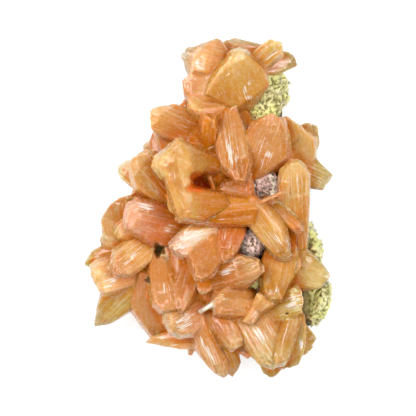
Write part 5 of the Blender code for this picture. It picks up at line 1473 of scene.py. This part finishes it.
def unit(vectors):
    return vectors / np.linalg.norm(vectors, axis=1)[:, None]


def needle_mesh(name, bases, tips, radius, tints):
    """Thin three-sided needles, one closed cone each, as one mesh in millimetres."""
    along = unit(tips - bases)
    helper = np.where(np.abs(along[:, 2:3]) > NEEDLE_UPRIGHT, (1.0, 0.0, 0.0), (0.0, 0.0, 1.0))
    side = unit(np.cross(along, helper))
    other = np.cross(along, side)
    angles = [math.tau * third / 3 for third in range(3)]
    ring = [bases + radius[:, None] * (side * math.cos(a) + other * math.sin(a)) for a in angles]
    places = np.stack((*ring, tips), axis=1).reshape(-1, 3)
    pattern = np.array(((0, 1, 3), (1, 2, 3), (2, 0, 3), (0, 2, 1)))
    faces = (np.arange(len(bases))[:, None, None] * 4 + pattern).reshape(-1, 3)
    mesh = bpy.data.meshes.new(name)
    mesh.from_pydata(places.tolist(), [], faces.tolist())
    set_attribute(mesh, "tint", "FLOAT_COLOR", np.repeat(tints, 4, axis=0))
    return mesh


def make_needles(mat, number, colours):
    """A crust's needles, in small tufts spread evenly over its mound."""
    chance_of = np.random.default_rng(MAT_SEED + number)
    area = 4 * math.pi * (math.prod(mat.radii) ** (2 / 3))
    tufts = int(area / TUFT_SPACING ** 2)
    index = np.arange(tufts) + 0.5
    lift = 1 - 2 * index / tufts
    spin = index * math.pi * (1 + 5 ** 0.5)
    level = np.sqrt(1 - lift * lift)
    ball = np.stack((level * np.cos(spin), level * np.sin(spin), lift), axis=1)
    ball = unit(ball + chance_of.normal(0, TUFT_SCATTER, ball.shape))
    middles = mound_places(mat, ball, TUFT_DEPTH)
    middles += chance_of.normal(0, TUFT_JITTER, middles.shape)
    middles = middles[middles[:, 2] > TUFT_LOWEST]
    base = np.repeat(middles, NEEDLES_PER_TUFT, axis=0)
    count = len(base)
    aim = unit(chance_of.normal(0, 1.0, (count, 3)))
    size = np.repeat(chance_of.uniform(*TUFT_SIZES, len(middles)), NEEDLES_PER_TUFT)
    length = chance_of.uniform(*NEEDLE_LENGTH[mat.slot], count) * size
    tip = base + aim * length[:, None]
    tip[:, 2] = np.maximum(tip[:, 2], NEEDLE_LOWEST)
    tuft_pick = chance_of.choice(len(colours), len(middles), p=COLOUR_SHARES)
    is_own = chance_of.random(count) < TUFT_OWN_COLOUR
    other_pick = chance_of.choice(len(colours), count, p=COLOUR_SHARES)
    pick = np.where(is_own, np.repeat(tuft_pick, NEEDLES_PER_TUFT), other_pick)
    tints = np.clip(colours[pick] * chance_of.uniform(*NEEDLE_TINTS, (count, 1)), 0, 1)
    radius = NEEDLE_RADIUS * chance_of.uniform(*NEEDLE_RADII, count)
    tints = np.concatenate((tints, np.ones((count, 1))), axis=1)
    name = mat.name + "_needles"
    return new_object(name, needle_mesh(name, base, tip, radius, tints))


def make_core(mat, colours):
    """A crust's rough core, which fills the space between its needles."""
    name = mat.name + "_core"
    mesh = mesh_of(name, ball_of(CORE_SUBDIVISIONS))
    places = mound_places(mat, vectors_of(mesh), CORE_DEPTH)
    set_places(mesh, places)
    grains = noise_at(places / CORE_GRAIN[1])
    fine = noise_at(places / (CORE_GRAIN[1] * CORE_FINE[1]))
    push = CORE_LUMPS[0] * noise_at(places / CORE_LUMPS[1]) + CORE_GRAIN[0] * grains + CORE_FINE[0] * fine
    places = places + vectors_of(mesh, "normal") * push[:, None]
    places[:, 2] = np.maximum(places[:, 2], CORE_LOWEST)
    set_places(mesh, places)
    # Painted shade: the core is darker in its dents, between the tufts, and in its hollows.
    light = smoothstep(grains + CORE_FINE_LIGHT * fine, *CORE_LIGHT)
    for x, y, radius in MAT_SHADED_HOLLOWS:
        light *= 1 - np.exp(-((places[:, 0] - x) ** 2 + (places[:, 1] - y) ** 2) / radius ** 2)
    patch = smoothstep(noise_at(places / CORE_PATCH_WIDTH + CORE_PATCH_SEED), *CORE_PATCH)[:, None]
    pale = mixed(colours[0], colours[1], patch)
    tint = mixed(colours[3] * CORE_PIT_SHADE, pale, light[:, None])
    tint = np.concatenate((tint, np.ones((len(tint), 1))), axis=1)
    set_attribute(mesh, "tint", "FLOAT_COLOR", tint)
    return new_object(name, mesh)


def dress(piece, material):
    """Turns a piece from millimetres to metres and gives it its material and its body."""
    set_places(piece.data, vectors_of(piece.data) * MM)
    piece.data.shade_smooth()
    piece.data.materials.clear()
    piece.data.materials.append(material)
    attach(piece, "root")


def area_light(name, place, size, power):
    light = bpy.data.lights.new(name, "AREA")
    light.shape = "SQUARE"
    light.size = size
    light.energy = power
    lamp = new_object(name, light)
    lamp.location = place
    lamp.rotation_euler = (Vector(AIM) - Vector(place)).to_track_quat("-Z", "Y").to_euler()


def make_camera():
    """Looks straight down on the specimen, as the photo does."""
    camera = bpy.data.cameras.new("camera")
    camera.lens = LENS
    camera.sensor_width = SENSOR
    camera.clip_end = FAR
    holder = new_object("camera", camera)
    holder.location = (0.0, 0.0, MIDDLE_HEIGHT + LENS / SENSOR * FRAME_WIDTH)
    bpy.context.scene.camera = holder


def make_floor():
    shape = bmesh.new()
    bmesh.ops.create_grid(shape, x_segments=1, y_segments=1, size=FLOOR_SIZE)
    floor = new_object("floor", mesh_of("floor", shape))
    floor.data.materials.append(Nodes("floor").finish(
        Base_Color=(FLOOR_GREY, FLOOR_GREY, FLOOR_GREY, 1.0),
        Roughness=0.9,
        Emission_Color=WHITE_LIGHT,
        Emission_Strength=FLOOR_GLOW,
    ))


def make_light():
    world = bpy.data.worlds.new("world")
    world.use_nodes = True
    world.node_tree.nodes["Background"].inputs["Color"].default_value = WHITE_LIGHT
    world.node_tree.nodes["Background"].inputs["Strength"].default_value = WORLD_STRENGTH
    bpy.context.scene.world = world
    for light in BROAD_LIGHTS:
        area_light(*light)
    for number, (azimuth, zenith, power) in enumerate(SOFT_LIGHTS):
        turn = math.radians(azimuth)
        lean = math.radians(zenith)
        place = (
            SOFT_DISTANCE * math.sin(lean) * math.cos(turn),
            SOFT_DISTANCE * math.sin(lean) * math.sin(turn),
            SOFT_DISTANCE * math.cos(lean),
        )
        area_light("soft_" + str(number), place, SOFT_SIZE, power)
    bpy.context.scene.view_settings.view_transform = "Standard"


def main():
    crystals = [
        (sheaf.name, crystal, crystal_part(crystal, 1.0 + number + CRYSTAL_SEED_STEP * index))
        for number, sheaf in enumerate(SHEAVES)
        for index, crystal in enumerate(sheaf.crystals)
    ]
    fillers = filler_parts(crystals)
    sheaves = []
    for number, sheaf in enumerate(SHEAVES):
        parts = [part for name, _, part in crystals if name == sheaf.name] + fillers[sheaf.name]
        sheaves.append((sheaf, *make_sheaf(sheaf, 1.0 + number, parts)))
    rock = make_rock()
    read_height = height_map([piece for _, piece, _ in sheaves] + [rock])
    stilbite = stilbite_material()
    for sheaf, piece, parts in sheaves:
        colour_skin(piece, parts, read_height)
        dress(piece, stilbite)
        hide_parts(sheaf.name)

    places = vectors_of(rock.data)
    shade = 1 - ROCK_DIM * smoothstep(read_height(places)[0] - places[:, 2], *ROCK_DIM_DROP)
    set_attribute(rock.data, "shade", "FLOAT_COLOR", shade[:, None] ** ROCK_DIM_TINT)
    dress(rock, rock_material())
    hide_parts("matrix_rock")

    needle_look = needle_material()
    core_look = core_material()
    for number, mat in enumerate(MATS):
        colours = np.array([linear(colour) for colour in MAT_COLOURS[mat.slot]])
        needles = make_needles(mat, number, colours)
        dress(needles, needle_look)
        dress(make_core(mat, colours), core_look)
        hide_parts(mat.name)
    make_floor()
    make_light()
    make_camera()


main()
